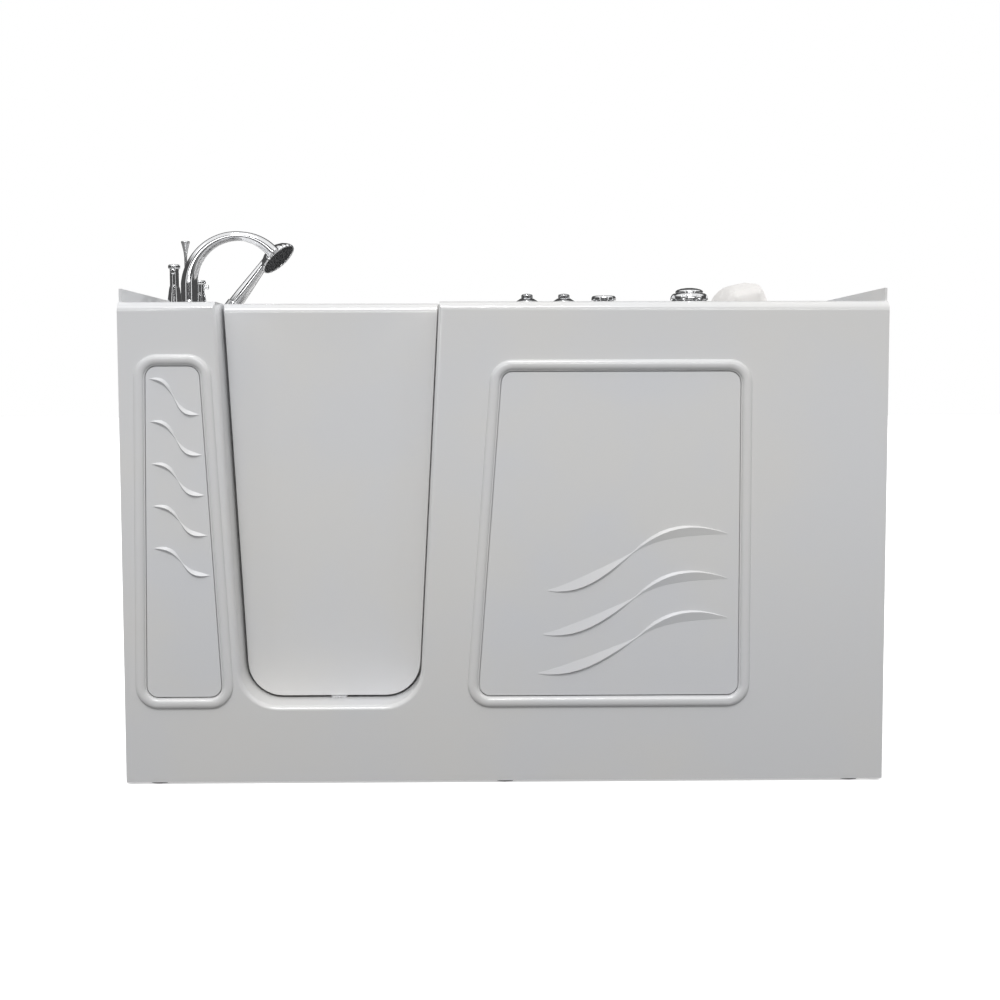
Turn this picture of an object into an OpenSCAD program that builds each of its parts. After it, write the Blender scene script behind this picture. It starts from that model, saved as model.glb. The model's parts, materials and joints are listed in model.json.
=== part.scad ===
// Walk-in jetted bathtub with an inward-swinging door, two access panels and deck fittings.
// Millimetres. X runs along the tub, -Y is the apron, Z is up, and Z = 0 is the floor.

/* [Tub] */
// Length over both ends
tub_length = 1524; // [1480:1:1600]
// Depth from the panel beads to the tile flange at the back
tub_depth = 762; // [740:1:800]
// Height of the deck above the floor
rim_height = 965; // [950:1:1000]
// Wall of the moulded shell
shell_wall = 6; // [5:0.5:7]
// Radius of the rolled edge along the top of the apron and the door
rim_radius = 20; // [16:1:24]
// Wall of the apron moulding
apron_wall = 5; // [4:0.5:6]
// Clear height between the floor and the apron
apron_floor_gap = 4; // [2:1:8]
// Height of the tile flange above the deck
flange_height = 26; // [15:1:35]
// Thickness of the tile flange
flange_wall = 5; // [4:0.5:8]

/* [Basin] */
// Width of the left deck, from the end to the basin wall
left_deck = 146; // [140:1:150]
// Width of the right deck at the top of the backrest
right_deck = 164; // [150:1:180]
// Width of the back deck
back_deck = 63; // [58:1:75]
// Height of the foot-well floor
floor_height = 110; // [104:1:114]
// Height of the seat above the floor
seat_height = 540; // [520:1:560]
// Distance from the tub's centre to the riser in front of the seat
riser_offset = 80; // [70:1:90]
// Lean of the backrest, measured along X
backrest_lean = 53; // [35:1:65]
// Radius of the coves along the foot-well floor
floor_cove = 25; // [15:1:25]
// Radius of the seat's front edge
seat_nose = 30; // [20:1:40]
// Radius between the seat and the backrest
seat_cove = 60; // [40:1:80]
// Radius of the basin's upright back corners
basin_corner = 80; // [50:1:100]
// Radius of the basin's upright front corners
front_corner = 12; // [8:1:12]

/* [Doorway] */
// Distance from the left end to the doorway's centre line
doorway_offset = 412; // [406:1:418]
// Doorway width at the deck
doorway_top = 442; // [436:1:448]
// Doorway width at the sill
doorway_foot = 355; // [330:1:365]
// Height of the sill above the floor
sill_height = 158; // [154:1:166]
// Radius of the doorway's lower corners
doorway_corner = 76; // [60:1:85]
// Radius of the rounded lip around the doorway
doorway_lip = 10; // [6:1:12]
// Setback of the door's face behind the apron
door_setback = 85; // [82:1:88]

/* [Door] */
// Gap all round the door
door_gap = 4.5; // [4:0.1:6]
// Wall of the door's two skins
door_skin = 4; // [3:0.5:4.5]
// Overlap of the door's inner skin on the basin wall
door_overlap = 16; // [13:0.5:17]
// Depth of the door's inner skin
door_inner_depth = 20; // [16:1:22]
// Width of the door seal
seal_width = 10; // [8:0.5:11]
// Thickness of the door seal
seal_depth = 5.7; // [5:0.1:6.5]
// Distance from the doorway's top left corner to the hinge axis
hinge_offset = 33; // [32:0.5:34]
// Radius of the hinge knuckles
knuckle_radius = 7; // [6:0.5:7.5]
// Radius of the hinge pins
hinge_pin = 3.5; // [3:0.1:4]
// Height of one hinge
hinge_height = 60; // [50:1:80]
// Height of the latch spindle above the floor
latch_height = 720; // [680:1:760]

/* [Access panels] */
// Height of the panels' lower edge above the floor
panel_foot = 177; // [170:1:185]
// Height of the left panel's upper edge above the floor
left_panel_top = 838.5; // [800:0.5:850]
// Height of the right panel's upper edge above the floor
right_panel_top = 826.5; // [800:0.5:850]
// Width of the left panel's lower edge
left_panel_foot = 151; // [140:1:156]
// Width of the left panel's upper edge
left_panel_head = 106; // [98:1:112]
// Distance from the left end to the left panel's lower corner
left_panel_offset = 44.5; // [42:0.5:50]
// Width of the right panel's lower edge
right_panel_foot = 523; // [500:1:530]
// Width of the right panel's upper edge
right_panel_head = 474; // [450:1:480]
// Distance from the right end to the right panel's right edge
right_panel_offset = 293.5; // [286:0.5:310]
// Gap around a panel
panel_gap = 2; // [1.5:0.1:3]
// Radius of a panel's corners
panel_corner = 23; // [15:1:28]
// Thickness of a panel
panel_wall = 5; // [4:0.5:6]
// Width of the raised bead around a panel
bead_width = 20; // [16:1:22]
// Height of the raised bead
bead_proud = 6; // [4:0.5:8]
// Relief of the waves
wave_relief = 4.5; // [2:0.5:5]
// Width of the right panel's waves
wave_width = 22; // [16:1:26]

/* [Deck fittings] */
// Distance from the left end to the line of the tap pieces
tap_line = 61; // [56:1:70]
// Radius of the spout tube at its foot
spout_foot = 18.3; // [16:0.1:20]
// Radius of the spout tube at its slimmest
spout_waist = 10.2; // [9:0.1:12]
// Radius of the spout at its mouth
spout_mouth = 14; // [12:0.1:16]
// Radius of the spout's bend where it leaves the neck
spout_bend = 112.5; // [100:0.5:120]
// Radius of the spout's bend at its mouth
spout_reach = 99; // [90:0.5:110]
// Height of the spout's straight neck above the deck
spout_neck = 57; // [40:1:70]
// Height of the hot handle above the deck
hot_height = 92; // [80:1:100]
// Height of the cold handle above the deck
cold_height = 78; // [70:1:100]
// Height of the lift rod above the deck
lift_rod_height = 153; // [130:1:170]
// Lean of the hand shower from upright, in degrees
shower_lean = 37; // [30:1:42]
// Radius of the hand shower's head
shower_radius = 46.5; // [40:0.5:50]
// Radius of an air control's bezel
air_bezel = 22; // [18:0.5:26]
// Radius of the push button's bezel
button_bezel = 24.5; // [20:0.5:28]
// Travel of the push button
button_travel = 3; // [2:0.5:4]
// Radius of the diverter knob
diverter_radius = 37.5; // [32:0.5:40]
// Height of the diverter knob
diverter_height = 28; // [22:1:34]
// Length of the neck pillow across the tub
pillow_length = 300; // [240:1:360]

/* [Frame and plumbing] */
// Height of the frame's underside above the floor
frame_height = 40; // [36:1:44]
// Leg of the frame's steel angle
angle_leg = 40; // [35:1:42]
// Wall of the frame's steel angle
angle_wall = 4; // [3:0.5:5]
// Radius of a levelling foot
foot_radius = 24; // [20:1:24.5]
// Radius of a levelling foot's stud
stud_radius = 6; // [5:0.5:8]
// Thickness of the equipment board
board_wall = 12; // [9:1:18]
// Radius of the pump motor
motor_radius = 70; // [60:1:75]
// Length of the pump motor
motor_length = 200; // [160:1:230]
// Outer radius of the pump's pipes
pump_pipe = 24; // [20:0.5:26]
// Outer radius of the water manifold
manifold_radius = 16.5; // [14:0.5:17]
// Radius of a jet's face
jet_radius = 34; // [28:1:40]
// Outer radius of the waste pipe
waste_radius = 19.05; // [16:0.05:22]
// Radius of a supply inlet
inlet_radius = 10.65; // [8:0.05:13]
// Radius of the grab bar
grab_radius = 16; // [14:0.5:19]
// Length of the grab bar
grab_length = 450; // [400:5:520]
// Clear space between the grab bar and the wall
grab_clear = 38; // [35:1:50]

/* [Hidden] */
$fn = 64;

// Clearances
rest_gap = 0.3;
running_gap = 0.05;
over = 1;

// Main planes
left_x = -tub_length / 2;
right_x = tub_length / 2;
front_y = -tub_depth / 2;
back_y = tub_depth / 2;
apron_y = front_y + bead_proud;
apron_back_y = apron_y + apron_wall;
deck_front_y = apron_y + rim_radius;
deck_under = rim_height - shell_wall;

// Basin planes, inside the moulding
front_deck = door_setback + door_skin * 7;
basin_left = left_x + left_deck;
basin_front = apron_y + front_deck;
basin_back = back_y - back_deck;
basin_right = right_x - right_deck;
backrest_foot = basin_right - backrest_lean;
shell_front = basin_front - shell_wall;
shell_back = basin_back + shell_wall;
seat_under = seat_height - shell_wall;
floor_under = floor_height - shell_wall;
basin_mid_y = (basin_front + basin_back) / 2;

// Door planes
door_front = apron_y + door_setback;
seal_front = basin_front + rest_gap;
door_land = seal_front + seal_depth;
door_back = door_land + door_inner_depth;

// Colours
moulding = "#e8eaed";
panel_tone = "#e4e6e9";
chrome = "#c4c9cf";
steel = "#8b9298";
zinc = "#a7adb1";
plastic_dark = "#3b3f44";
plastic_pipe = "#d9dadb";
rubber_tone = "#4a4d50";
cushion_tone = "#f1ece2";
motor_tone = "#5d666e";

// Outlines
arc_steps = 9;

function unit(v) = v / norm(v);
function edge_normal(a, b) = unit([b[1] - a[1], a[0] - b[0]]);

// Counter-clockwise outline moved outwards by a distance
function pushed(points, distance) = [
  for (i = [0:len(points) - 1])
    let (
      before = points[(i + len(points) - 1) % len(points)],
      after = points[(i + 1) % len(points)],
      n1 = edge_normal(before, points[i]),
      n2 = edge_normal(points[i], after)
    )
    points[i] + distance * (n1 + n2) / (1 + n1 * n2)
];

function corner_arc(a, b, c, radius) =
  let (
    u = unit(a - b),
    v = unit(c - b),
    half = acos(u * v) / 2,
    centre = b + unit(u + v) * radius / sin(half),
    start = b + u * radius / tan(half) - centre,
    finish = b + v * radius / tan(half) - centre,
    first = atan2(start[1], start[0]),
    turn = (atan2(finish[1], finish[0]) - first + 540) % 360 - 180
  )
  [for (i = [0:arc_steps])
    centre + radius * [cos(first + turn * i / arc_steps), sin(first + turn * i / arc_steps)]];

// Outline with each corner rounded by its own radius
function rounded(points, radii) = [
  for (i = [0:len(points) - 1])
    let (before = points[(i + len(points) - 1) % len(points)], after = points[(i + 1) % len(points)])
    each (radii[i] > 0 ? corner_arc(before, points[i], after, radii[i]) : [points[i]])
];

module along_x(from, to) {
  translate([from, 0, 0]) rotate([90, 0, 90]) linear_extrude(to - from) children();
}

module along_y(from, to) {
  translate([0, to, 0]) rotate([90, 0, 0]) linear_extrude(to - from) children();
}

module block(low, high) {
  translate(low) cube(high - low);
}

module pipe_x(from, to, y, z, radius) {
  translate([from, y, z]) rotate([0, 90, 0]) cylinder(r = radius, h = to - from);
}

module pipe_y(from, to, x, z, radius) {
  translate([x, to, z]) rotate([90, 0, 0]) cylinder(r = radius, h = to - from);
}

module pipe_z(from, to, x, y, radius) {
  translate([x, y, from]) cylinder(r = radius, h = to - from);
}

// Form turned about Z from points of radius and height
module turned(points) {
  rotate_extrude() polygon(points);
}

function edge_arc(radius, height, across, rise, from, to) = [
  for (k = [0:5])
    let (turn = from + (to - from) * k / 5)
    [radius + across * cos(turn), height + rise * sin(turn)]
];

// Closed solid through rings of points, capped at both ends or joined into a loop
module ring_solid(rings, loop = false) {
  count = len(rings[0]);
  bands = loop ? len(rings) : len(rings) - 1;
  points = [for (ring = rings) each ring];
  sides = [
    for (k = [0:bands - 1], i = [0:count - 1])
      let (
        a = k * count + i,
        b = k * count + (i + 1) % count,
        c = ((k + 1) % len(rings)) * count + (i + 1) % count,
        d = ((k + 1) % len(rings)) * count + i
      )
      each [[a, b, c], [a, c, d]]
  ];
  caps = loop ? [] : [
    [for (i = [count - 1:-1:0]) i],
    [for (i = [0:count - 1]) (len(rings) - 1) * count + i]
  ];
  polyhedron(points = points, faces = concat(sides, caps), convexity = 6);
}

// Ring of an X-Z outline at one depth
function at_depth(outline, y) = [for (p = outline) [p[0], y, p[1]]];

// Doorway
doorway_x = left_x + doorway_offset;
doorway_crown = rim_height + rim_radius * 2;
doorway_slope = (doorway_top - doorway_foot) / 2 / (rim_height - sill_height);
doorway_crown_half = doorway_top / 2 + (doorway_crown - rim_height) * doorway_slope;
doorway_outline = rounded(
  [
    [doorway_x - doorway_foot / 2, sill_height],
    [doorway_x + doorway_foot / 2, sill_height],
    [doorway_x + doorway_crown_half, doorway_crown],
    [doorway_x - doorway_crown_half, doorway_crown]
  ],
  [doorway_corner, doorway_corner, 0, 0]
);
function doorway_half(z) = doorway_foot / 2 + (z - sill_height) * doorway_slope;

// Side view of a moulding with the rolled edge at its top front
module rolled_side(front, back, foot, radius) {
  difference() {
    translate([front, foot]) square([back - front, rim_height - foot]);
    translate([front, rim_height - radius]) difference() {
      translate([-over, 0]) square([radius + over, radius + over]);
      translate([radius, 0]) circle(radius);
    }
  }
}

// Basin
function basin_side(top) = [
  [basin_left, top],
  [basin_left, floor_height],
  [left_x + tub_length / 2 + riser_offset, floor_height],
  [left_x + tub_length / 2 + riser_offset, seat_height],
  [backrest_foot, seat_height],
  [backrest_foot + backrest_lean * (top - seat_height) / (rim_height - seat_height), top]
];

module basin_form(top, grow) {
  intersection() {
    along_y(basin_front - grow, basin_back + grow)
      polygon(rounded(
        pushed(basin_side(top), grow),
        [0, floor_cove + grow, floor_cove + grow, seat_nose - grow, seat_cove + grow, 0]
      ));
    linear_extrude(top + over * 20)
      polygon(rounded(
        pushed([
          [basin_left, basin_front],
          [right_x, basin_front],
          [right_x, basin_back],
          [basin_left, basin_back]
        ], grow),
        [front_corner + grow, 0, 0, basin_corner + grow]
      ));
    along_x(left_x, right_x)
      polygon(rounded(
        pushed([
          [basin_front, floor_height],
          [basin_back, floor_height],
          [basin_back, top],
          [basin_front, top]
        ], grow),
        [floor_cove + grow, floor_cove + grow, 0, 0]
      ));
  }
}

module deck_plate() {
  block([left_x, deck_front_y, deck_under], [right_x, back_y, rim_height]);
  for (x = [left_x, right_x - flange_wall])
    block([x, deck_front_y, deck_under], [x + flange_wall, back_y, rim_height + flange_height]);
  block([left_x, back_y - flange_wall, deck_under], [right_x, back_y, rim_height + flange_height]);
}

module basin_shell() {
  color(moulding) difference() {
    union() {
      basin_form(rim_height - shell_wall * 1.5, shell_wall);
      deck_plate();
    }
    basin_form(rim_height + over * 10, 0);
    along_y(deck_front_y - over, shell_front) polygon(pushed(doorway_outline, apron_wall));
    along_y(shell_front - over, basin_front + over) polygon(doorway_outline);
    for (place = deck_holes) pipe_z(deck_under - over, rim_height + over, place[0], place[1], place[2]);
    for (jet = back_jets) pipe_y(basin_back - over, shell_back + over, jet[0], jet[1], jet_throat);
    for (jet = riser_jets) pipe_x(riser_x - over, riser_x + shell_wall + over, jet[0], jet[1], jet_throat);
    pipe_x(riser_x - over, riser_x + shell_wall + over, pump_y, pump_z, suction_throat);
    pipe_z(floor_under - over, floor_height + over, drain_x, drain_y, drain_throat);
    pipe_x(basin_left - shell_wall - over, basin_left + over, drain_y, overflow_z, overflow_throat);
    for (x = air_jet_rows_x, y = air_jet_rows_y)
      pipe_z(seat_under - over, seat_height + over, x, y, air_jet_stem);
  }
}

// Access panels
left_panel_x = left_x + left_panel_offset;
right_panel_x = right_x - right_panel_offset;
left_panel_taper = (left_panel_foot - left_panel_head) * 0.19;
left_panel_corners = [
  [left_panel_x, panel_foot],
  [left_panel_x + left_panel_foot, panel_foot],
  [left_panel_x + left_panel_taper + left_panel_head, left_panel_top],
  [left_panel_x + left_panel_taper, left_panel_top]
];
right_panel_corners = [
  [right_panel_x - right_panel_foot, panel_foot],
  [right_panel_x, panel_foot],
  [right_panel_x, right_panel_top],
  [right_panel_x - right_panel_head, right_panel_top]
];

// Panel outline moved outwards, its corners staying concentric
function panel_outline(corners, distance) = rounded(
  pushed(corners, distance),
  [for (corner = corners) max(panel_corner + distance, 3)]
);
bead_inset = panel_gap + 1;
ledge_wall = 4;
ledge_width = 18;
ledge_y = apron_back_y + ledge_wall / 2;
ledge_back_y = ledge_y + ledge_wall;
panel_edge = 2;
catch_radius = 4;
catch_inset = 13.3;
socket_radius = 6.5;
socket_depth = 10;
socket_gap = 0.6;

// Rounded bead around a panel, sunk 1 mm into the face
module bead(corners) {
  bead_turns = 8;
  half = bead_width / 2;
  middle = bead_inset + half;
  rings = concat(
    [at_depth(panel_outline(corners, middle - half), apron_y + over)],
    [for (k = [0:bead_turns])
      let (turn = 180 * k / bead_turns)
      at_depth(panel_outline(corners, middle - half * cos(turn)), apron_y - bead_proud * sin(turn))],
    [at_depth(panel_outline(corners, middle + half), apron_y + over)]
  );
  ring_solid(rings, true);
}

// Places of a panel's catches: two near the foot and two near the head
function catch_places(foot_left, foot_right, head_left, head_right, head_z) = [
  for (share = [0.12, 0.88], side = [0, 1])
    let (
      z = panel_foot + (head_z - panel_foot) * share,
      low = foot_left + (head_left - foot_left) * share,
      high = foot_right + (head_right - foot_right) * share
    )
    [side == 0 ? low + catch_inset : high - catch_inset, z]
];
left_catches = catch_places(
  left_panel_x,
  left_panel_x + left_panel_foot,
  left_panel_x + left_panel_taper,
  left_panel_x + left_panel_taper + left_panel_head,
  left_panel_top
);
right_catches = catch_places(
  right_panel_x - right_panel_foot,
  right_panel_x,
  right_panel_x - right_panel_head,
  right_panel_x,
  right_panel_top
);

// Set-back ledge that a panel closes against
module ledge(corners, catches) {
  difference() {
    along_y(apron_back_y - over, ledge_back_y) polygon(panel_outline(corners, panel_gap / 2 + ledge_wall));
    along_y(apron_back_y - over * 2, ledge_y) polygon(panel_outline(corners, panel_gap / 2));
    along_y(ledge_y - over, ledge_back_y + over) polygon(panel_outline(corners, -ledge_width));
    for (place = catches)
      pipe_y(ledge_y - over, ledge_back_y + over, place[0], place[1], catch_radius + socket_gap);
  }
}

module front_apron() {
  color(moulding) {
    difference() {
      union() {
        along_x(left_x, right_x) difference() {
          rolled_side(apron_y, deck_front_y, apron_floor_gap, rim_radius);
          translate([apron_back_y, apron_floor_gap - over])
            square([rim_radius, rim_height - rim_radius - apron_floor_gap + over]);
          translate([deck_front_y, rim_height - rim_radius]) circle(rim_radius - apron_wall);
        }
        for (x = [left_x, right_x - apron_wall])
          along_x(x, x + apron_wall) rolled_side(apron_y, deck_front_y, apron_floor_gap, rim_radius);
        intersection() {
          along_y(apron_y, shell_front) polygon(pushed(doorway_outline, apron_wall));
          along_x(left_x, right_x) rolled_side(apron_y, shell_front, 0, rim_radius);
        }
        bead(left_panel_corners);
        bead(right_panel_corners);
      }
      doorway_cutter();
      for (corners = [left_panel_corners, right_panel_corners])
        along_y(front_y - over, apron_back_y + over) polygon(panel_outline(corners, panel_gap / 2));
    }
    ledge(left_panel_corners, left_catches);
    ledge(right_panel_corners, right_catches);
  }
}

// Doorway recess with its rounded lip at the face
module doorway_cutter() {
  lip_turns = 6;
  rings = concat(
    [at_depth(pushed(doorway_outline, doorway_lip), apron_y - over)],
    [for (k = [0:lip_turns])
      let (turn = 90 * k / lip_turns)
      at_depth(
        pushed(doorway_outline, doorway_lip * (1 - sin(turn))),
        apron_y + doorway_lip * (1 - cos(turn))
      )],
    [at_depth(doorway_outline, shell_front + over)]
  );
  ring_solid(rings);
}

// Low disc on the sill, half of it under the door's foot
module sill_bumper() {
  bumper_radius = 17;
  bumper_shift = 10;
  color(chrome) pipe_z(
    sill_height,
    sill_height + door_gap - rest_gap,
    doorway_x + bumper_shift,
    door_front,
    bumper_radius
  );
}

// A wave of two pointed leaves that meet in a pinch, its ridge moving from the first side to the last
module wave(path, width, first, last) {
  count = len(path) - 1;
  tip = 0.12;
  sink = 1.5;
  edge_rise = 0.2;
  rings = [
    for (i = [0:count])
      let (
        here = path[i],
        along = unit(path[min(i + 1, count)] - path[max(i - 1, 0)]),
        side = [-along[1], along[0]],
        swell = max(pow(abs(sin(360 * i / count)), 0.85), tip),
        half = width / 2 * swell,
        low = here - side * half,
        high = here + side * half,
        crest = here + side * half * (first + last + (first - last) * cos(180 * i / count)) / 2
      )
      [
        [low[0], apron_y + sink, low[1]],
        [low[0], apron_y - edge_rise, low[1]],
        [crest[0], apron_y - wave_relief * swell, crest[1]],
        [high[0], apron_y - edge_rise, high[1]],
        [high[0], apron_y + sink, high[1]]
      ]
  ];
  ring_solid(rings);
}

function falling(t) = 1 / (1 + exp(10.5 * (0.49 - t)));

leaf_steps = 10;
left_wave_pitch = 84;

// Left panel: falling waves, each a little longer and flatter than the one above
module left_waves() {
  for (i = [0:4]) {
    start = [left_panel_x + 16.5 + 0.7 * i, left_panel_top - 25 - left_wave_pitch * i];
    reach = left_panel_head - 10 + 3.5 * i;
    drop = 71 - 4 * i;
    wave(
      [for (k = [0:leaf_steps * 2])
        let (t = k / leaf_steps / 2)
        start + [reach * t, -drop * falling(t)]],
      wave_width / 2,
      0,
      -0.45
    );
  }
}

// Right panel: each wave rises to a pinch and then arches over
module right_waves() {
  pinch_x = right_panel_x - right_panel_head + 260.5;
  for (i = [0:2]) {
    pinch = [pinch_x + 4.5 * i, right_panel_top - 361.5 - 90.6 * i + 4.9 * i * (i - 1)];
    run = 168.5 + 14.5 * i;
    rise = 75 - 2 * i;
    reach = 189 - 3.5 * i;
    net = 37.5 + 0.8 * i;
    arch = 120;
    wave(
      concat(
        [for (k = [0:leaf_steps])
          let (t = k / leaf_steps)
          pinch + [-run * (1 - t), rise * (pow(t, 1.75) - 1)]],
        [for (k = [1:leaf_steps])
          let (t = k / leaf_steps)
          pinch + [reach * t, net * t + arch * t * (1 - t) * (1 - 0.45 * t)]]
      ),
      wave_width,
      -0.95,
      0.85
    );
  }
}

// Tray-shaped panel with its turned edge and four ball catches
module access_panel(corners, catches) {
  edge_back = ledge_y - rest_gap;
  catch_end = ledge_back_y + socket_depth - 2;
  difference() {
    along_y(apron_y, edge_back) polygon(panel_outline(corners, -panel_gap / 2));
    along_y(apron_y + panel_wall, edge_back + over)
      polygon(panel_outline(corners, -ledge_width - panel_edge));
  }
  for (place = catches) pipe_y(edge_back - over, catch_end, place[0], place[1], catch_radius);
}

module left_access_panel() {
  color(panel_tone) {
    access_panel(left_panel_corners, left_catches);
    left_waves();
  }
}

module right_access_panel() {
  color(panel_tone) {
    access_panel(right_panel_corners, right_catches);
    right_waves();
  }
}

module panel_sockets() {
  color(plastic_dark) for (place = concat(left_catches, right_catches)) difference() {
    pipe_y(ledge_back_y, ledge_back_y + socket_depth, place[0], place[1], socket_radius);
    pipe_y(
      ledge_back_y - over,
      ledge_back_y + socket_depth + over,
      place[0],
      place[1],
      catch_radius + running_gap
    );
  }
}

// Frame
frame_side = 8;
frame_left = left_x + frame_side;
frame_right = right_x - frame_side;
frame_front = apron_back_y + 6;
frame_back = back_y - flange_wall - 2;
frame_top = frame_height + angle_leg;
ledge_top = frame_height + angle_wall;
middle_post = doorway_x + doorway_half(rim_height) + apron_wall + 8;
bearer_width = 40;
bearer_beside_post = middle_post + angle_leg + bearer_width / 2 + 4;
foot_beside_bearer = 52;
foot_places = [
  for (x = [
    frame_left + angle_leg * 1.4,
    bearer_beside_post + foot_beside_bearer,
    frame_right - angle_leg * 1.4
  ],
     y = [frame_front + angle_leg / 2, frame_back - angle_leg / 2])
    [x, y]
];
foot_pad = 8;
nut_height = 10;

module frame_ring(width, from, to) {
  difference() {
    block([frame_left, frame_front, from], [frame_right, frame_back, to]);
    block(
      [frame_left + width, frame_front + width, from - over],
      [frame_right - width, frame_back - width, to + over]
    );
  }
}

module base_frame() {
  color(zinc) difference() {
    union() {
      frame_ring(angle_wall, frame_height, frame_top);
      frame_ring(angle_leg, frame_height, ledge_top);
    }
    for (place = foot_places)
      pipe_z(frame_height - over, ledge_top + over, place[0], place[1], stud_radius + 0.5);
  }
}

// Upright steel angle with its corner at a point and its legs along the two signs
module post(x, y, side_x, side_y, from, to) {
  translate([x, y, from]) mirror([side_x < 0 ? 1 : 0, 0, 0]) mirror([0, side_y < 0 ? 1 : 0, 0]) {
    cube([angle_leg, angle_wall, to - from]);
    cube([angle_wall, angle_leg, to - from]);
  }
}

post_left = frame_left + angle_wall;
post_right = frame_right - angle_wall;
post_front = frame_front + angle_wall;
post_back = frame_back - angle_wall;

module upper_frame() {
  rail_foot = deck_under - angle_leg;
  color(zinc) {
    post(post_left, post_front, 1, 1, ledge_top, deck_under);
    post(post_left, post_back, 1, -1, ledge_top, deck_under);
    post(post_right, post_front, -1, 1, ledge_top, deck_under);
    post(post_right, post_back, -1, -1, ledge_top, deck_under);
    post(middle_post, post_front, 1, 1, ledge_top, deck_under);
    for (x = [post_left, post_right - angle_wall])
      block([x, post_front, rail_foot], [x + angle_wall, post_back, deck_under]);
    block([middle_post, post_front, rail_foot], [post_right, post_front + angle_wall, deck_under]);
    block([post_left, post_back - angle_wall, rail_foot], [post_right, post_back, deck_under]);
  }
}

// Steel channels across the frame under the foot-well
bearer_wall = 3;
riser_x = riser_offset;
bearer_places = [
  basin_left + (riser_x - basin_left) * 0.3,
  basin_left + (riser_x - basin_left) * 0.56,
  bearer_beside_post
];

module floor_bearers() {
  color(zinc) for (x = bearer_places)
    along_y(frame_front + angle_wall, frame_back - angle_wall) difference() {
      translate([x - bearer_width / 2, ledge_top]) square([bearer_width, floor_under - ledge_top]);
      translate([x - bearer_width / 2 + bearer_wall, ledge_top + bearer_wall])
        square([bearer_width, floor_under - ledge_top - bearer_wall * 2]);
    }
}

// Two folded portals that carry the seat
portal_places = [riser_x + 90, backrest_foot - 45];
portal_width = 30;
portal_wall = 3;
board_top = ledge_top + board_wall;
portal_front = shell_front + 14;
portal_back = shell_back - 20;

module portal_side(inset) {
  difference() {
    translate([portal_front + inset, board_top + (inset > 0 ? -over : 0)])
      square([
        portal_back - portal_front - inset * 2,
        seat_under - board_top - inset + (inset > 0 ? over : 0)
      ]);
    translate([portal_front + portal_width - inset, board_top - over * 2])
      square([
        portal_back - portal_front - portal_width * 2 + inset * 2,
        seat_under - board_top - portal_width + inset + over * 2
      ]);
  }
}

module seat_frame() {
  color(zinc) for (x = portal_places) difference() {
    along_x(x, x + portal_width) portal_side(0);
    along_x(x + portal_wall, x + portal_width + over) portal_side(portal_wall);
  }
}

module leveling_feet() {
  color(plastic_dark) for (place = foot_places) translate([place[0], place[1], 0]) {
    cylinder(r1 = foot_radius, r2 = foot_radius - 4, h = foot_pad);
    cylinder(r = stud_radius, h = frame_height + angle_leg - 5);
  }
}

module foot_lock_nuts() {
  color(steel) for (place = foot_places, z = [frame_height - nut_height, ledge_top])
    translate([place[0], place[1], z]) difference() {
      cylinder(r = stud_radius * 1.8, h = nut_height, $fn = 6);
      translate([0, 0, -over]) cylinder(r = stud_radius + running_gap, h = nut_height + over * 2);
    }
}

// Pump, blower and control box stand on one board under the seat
board_gap = 30;
board_left = riser_x + board_gap;

module equipment_board() {
  color("#57534d") difference() {
    block(
      [board_left, frame_front + angle_wall, ledge_top],
      [frame_right - angle_wall, frame_back - angle_wall, board_top]
    );
    for (place = foot_places)
      pipe_z(ledge_top - over, board_top + over, place[0], place[1], stud_radius * 2.6);
    for (y = [post_front, post_back - angle_leg])
      block(
        [post_right - angle_leg - over, y - over, ledge_top - over],
        [post_right + over, y + angle_leg + over, board_top + over]
      );
  }
}

pump_y = -60;
pump_z = 190;
wet_radius = 76;
wet_length = 70;
pump_run = 110;
pump_neck = 24;
pump_hose = 64;
motor_ring = 12;
pump_inlet_x = riser_x + shell_wall + pump_run;
wet_left = pump_inlet_x + pump_neck;
wet_right = wet_left + wet_length;
motor_right = wet_right + motor_ring + motor_length;
pump_bore = pump_pipe - 4;

module pump_motor() {
  fin_count = 24;
  fin_height = 4;
  core = motor_radius - fin_height;
  color(motor_tone) {
    pipe_x(wet_right, motor_right, pump_y, pump_z, core);
    pipe_x(motor_right - 26, motor_right + 14, pump_y, pump_z, motor_radius);
    pipe_x(wet_right, wet_right + motor_ring, pump_y, pump_z, motor_radius);
    for (i = [0:fin_count - 1])
      translate([wet_right + 6, pump_y, pump_z]) rotate([360 * i / fin_count, 0, 0])
        translate([0, -1, 0]) cube([motor_length - 20, 2, motor_radius - over]);
    motor_foot();
  }
}

module pump_wet_end() {
  color(plastic_dark) difference() {
    union() {
      pipe_x(wet_left, wet_right, pump_y, pump_z, wet_radius);
      pipe_x(pump_inlet_x, wet_left + over, pump_y, pump_z, pump_pipe);
      pipe_x(pump_inlet_x + 8, wet_left - 4, pump_y, pump_z, pump_pipe + 7);
      pipe_z(pump_z, pump_z + wet_radius + pump_neck, wet_mid_x, outlet_y, pump_pipe);
      pipe_z(pump_z + wet_radius + 4, pump_z + wet_radius + 18, wet_mid_x, outlet_y, pump_pipe + 7);
    }
    pipe_x(pump_inlet_x - over, wet_left + wet_length / 2, pump_y, pump_z, pump_bore);
    pipe_z(pump_z, pump_z + wet_radius + pump_neck + over, wet_mid_x, outlet_y, pump_bore);
  }
}
wet_mid_x = (wet_left + wet_right) / 2;
outlet_y = pump_y + 40;

// Foot plate with two saddles under the motor
module motor_foot() {
  saddle = 18;
  half = motor_radius * 0.75;
  sole = 4;
  top = pump_z - motor_radius * 0.6;
  block(
    [wet_right + 14, pump_y - half - 14, board_top],
    [motor_right, pump_y + half + 14, board_top + sole]
  );
  for (x = [wet_right + 30, motor_right - 60])
    block([x, pump_y - half, board_top + sole - over], [x + saddle, pump_y + half, top]);
}

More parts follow.
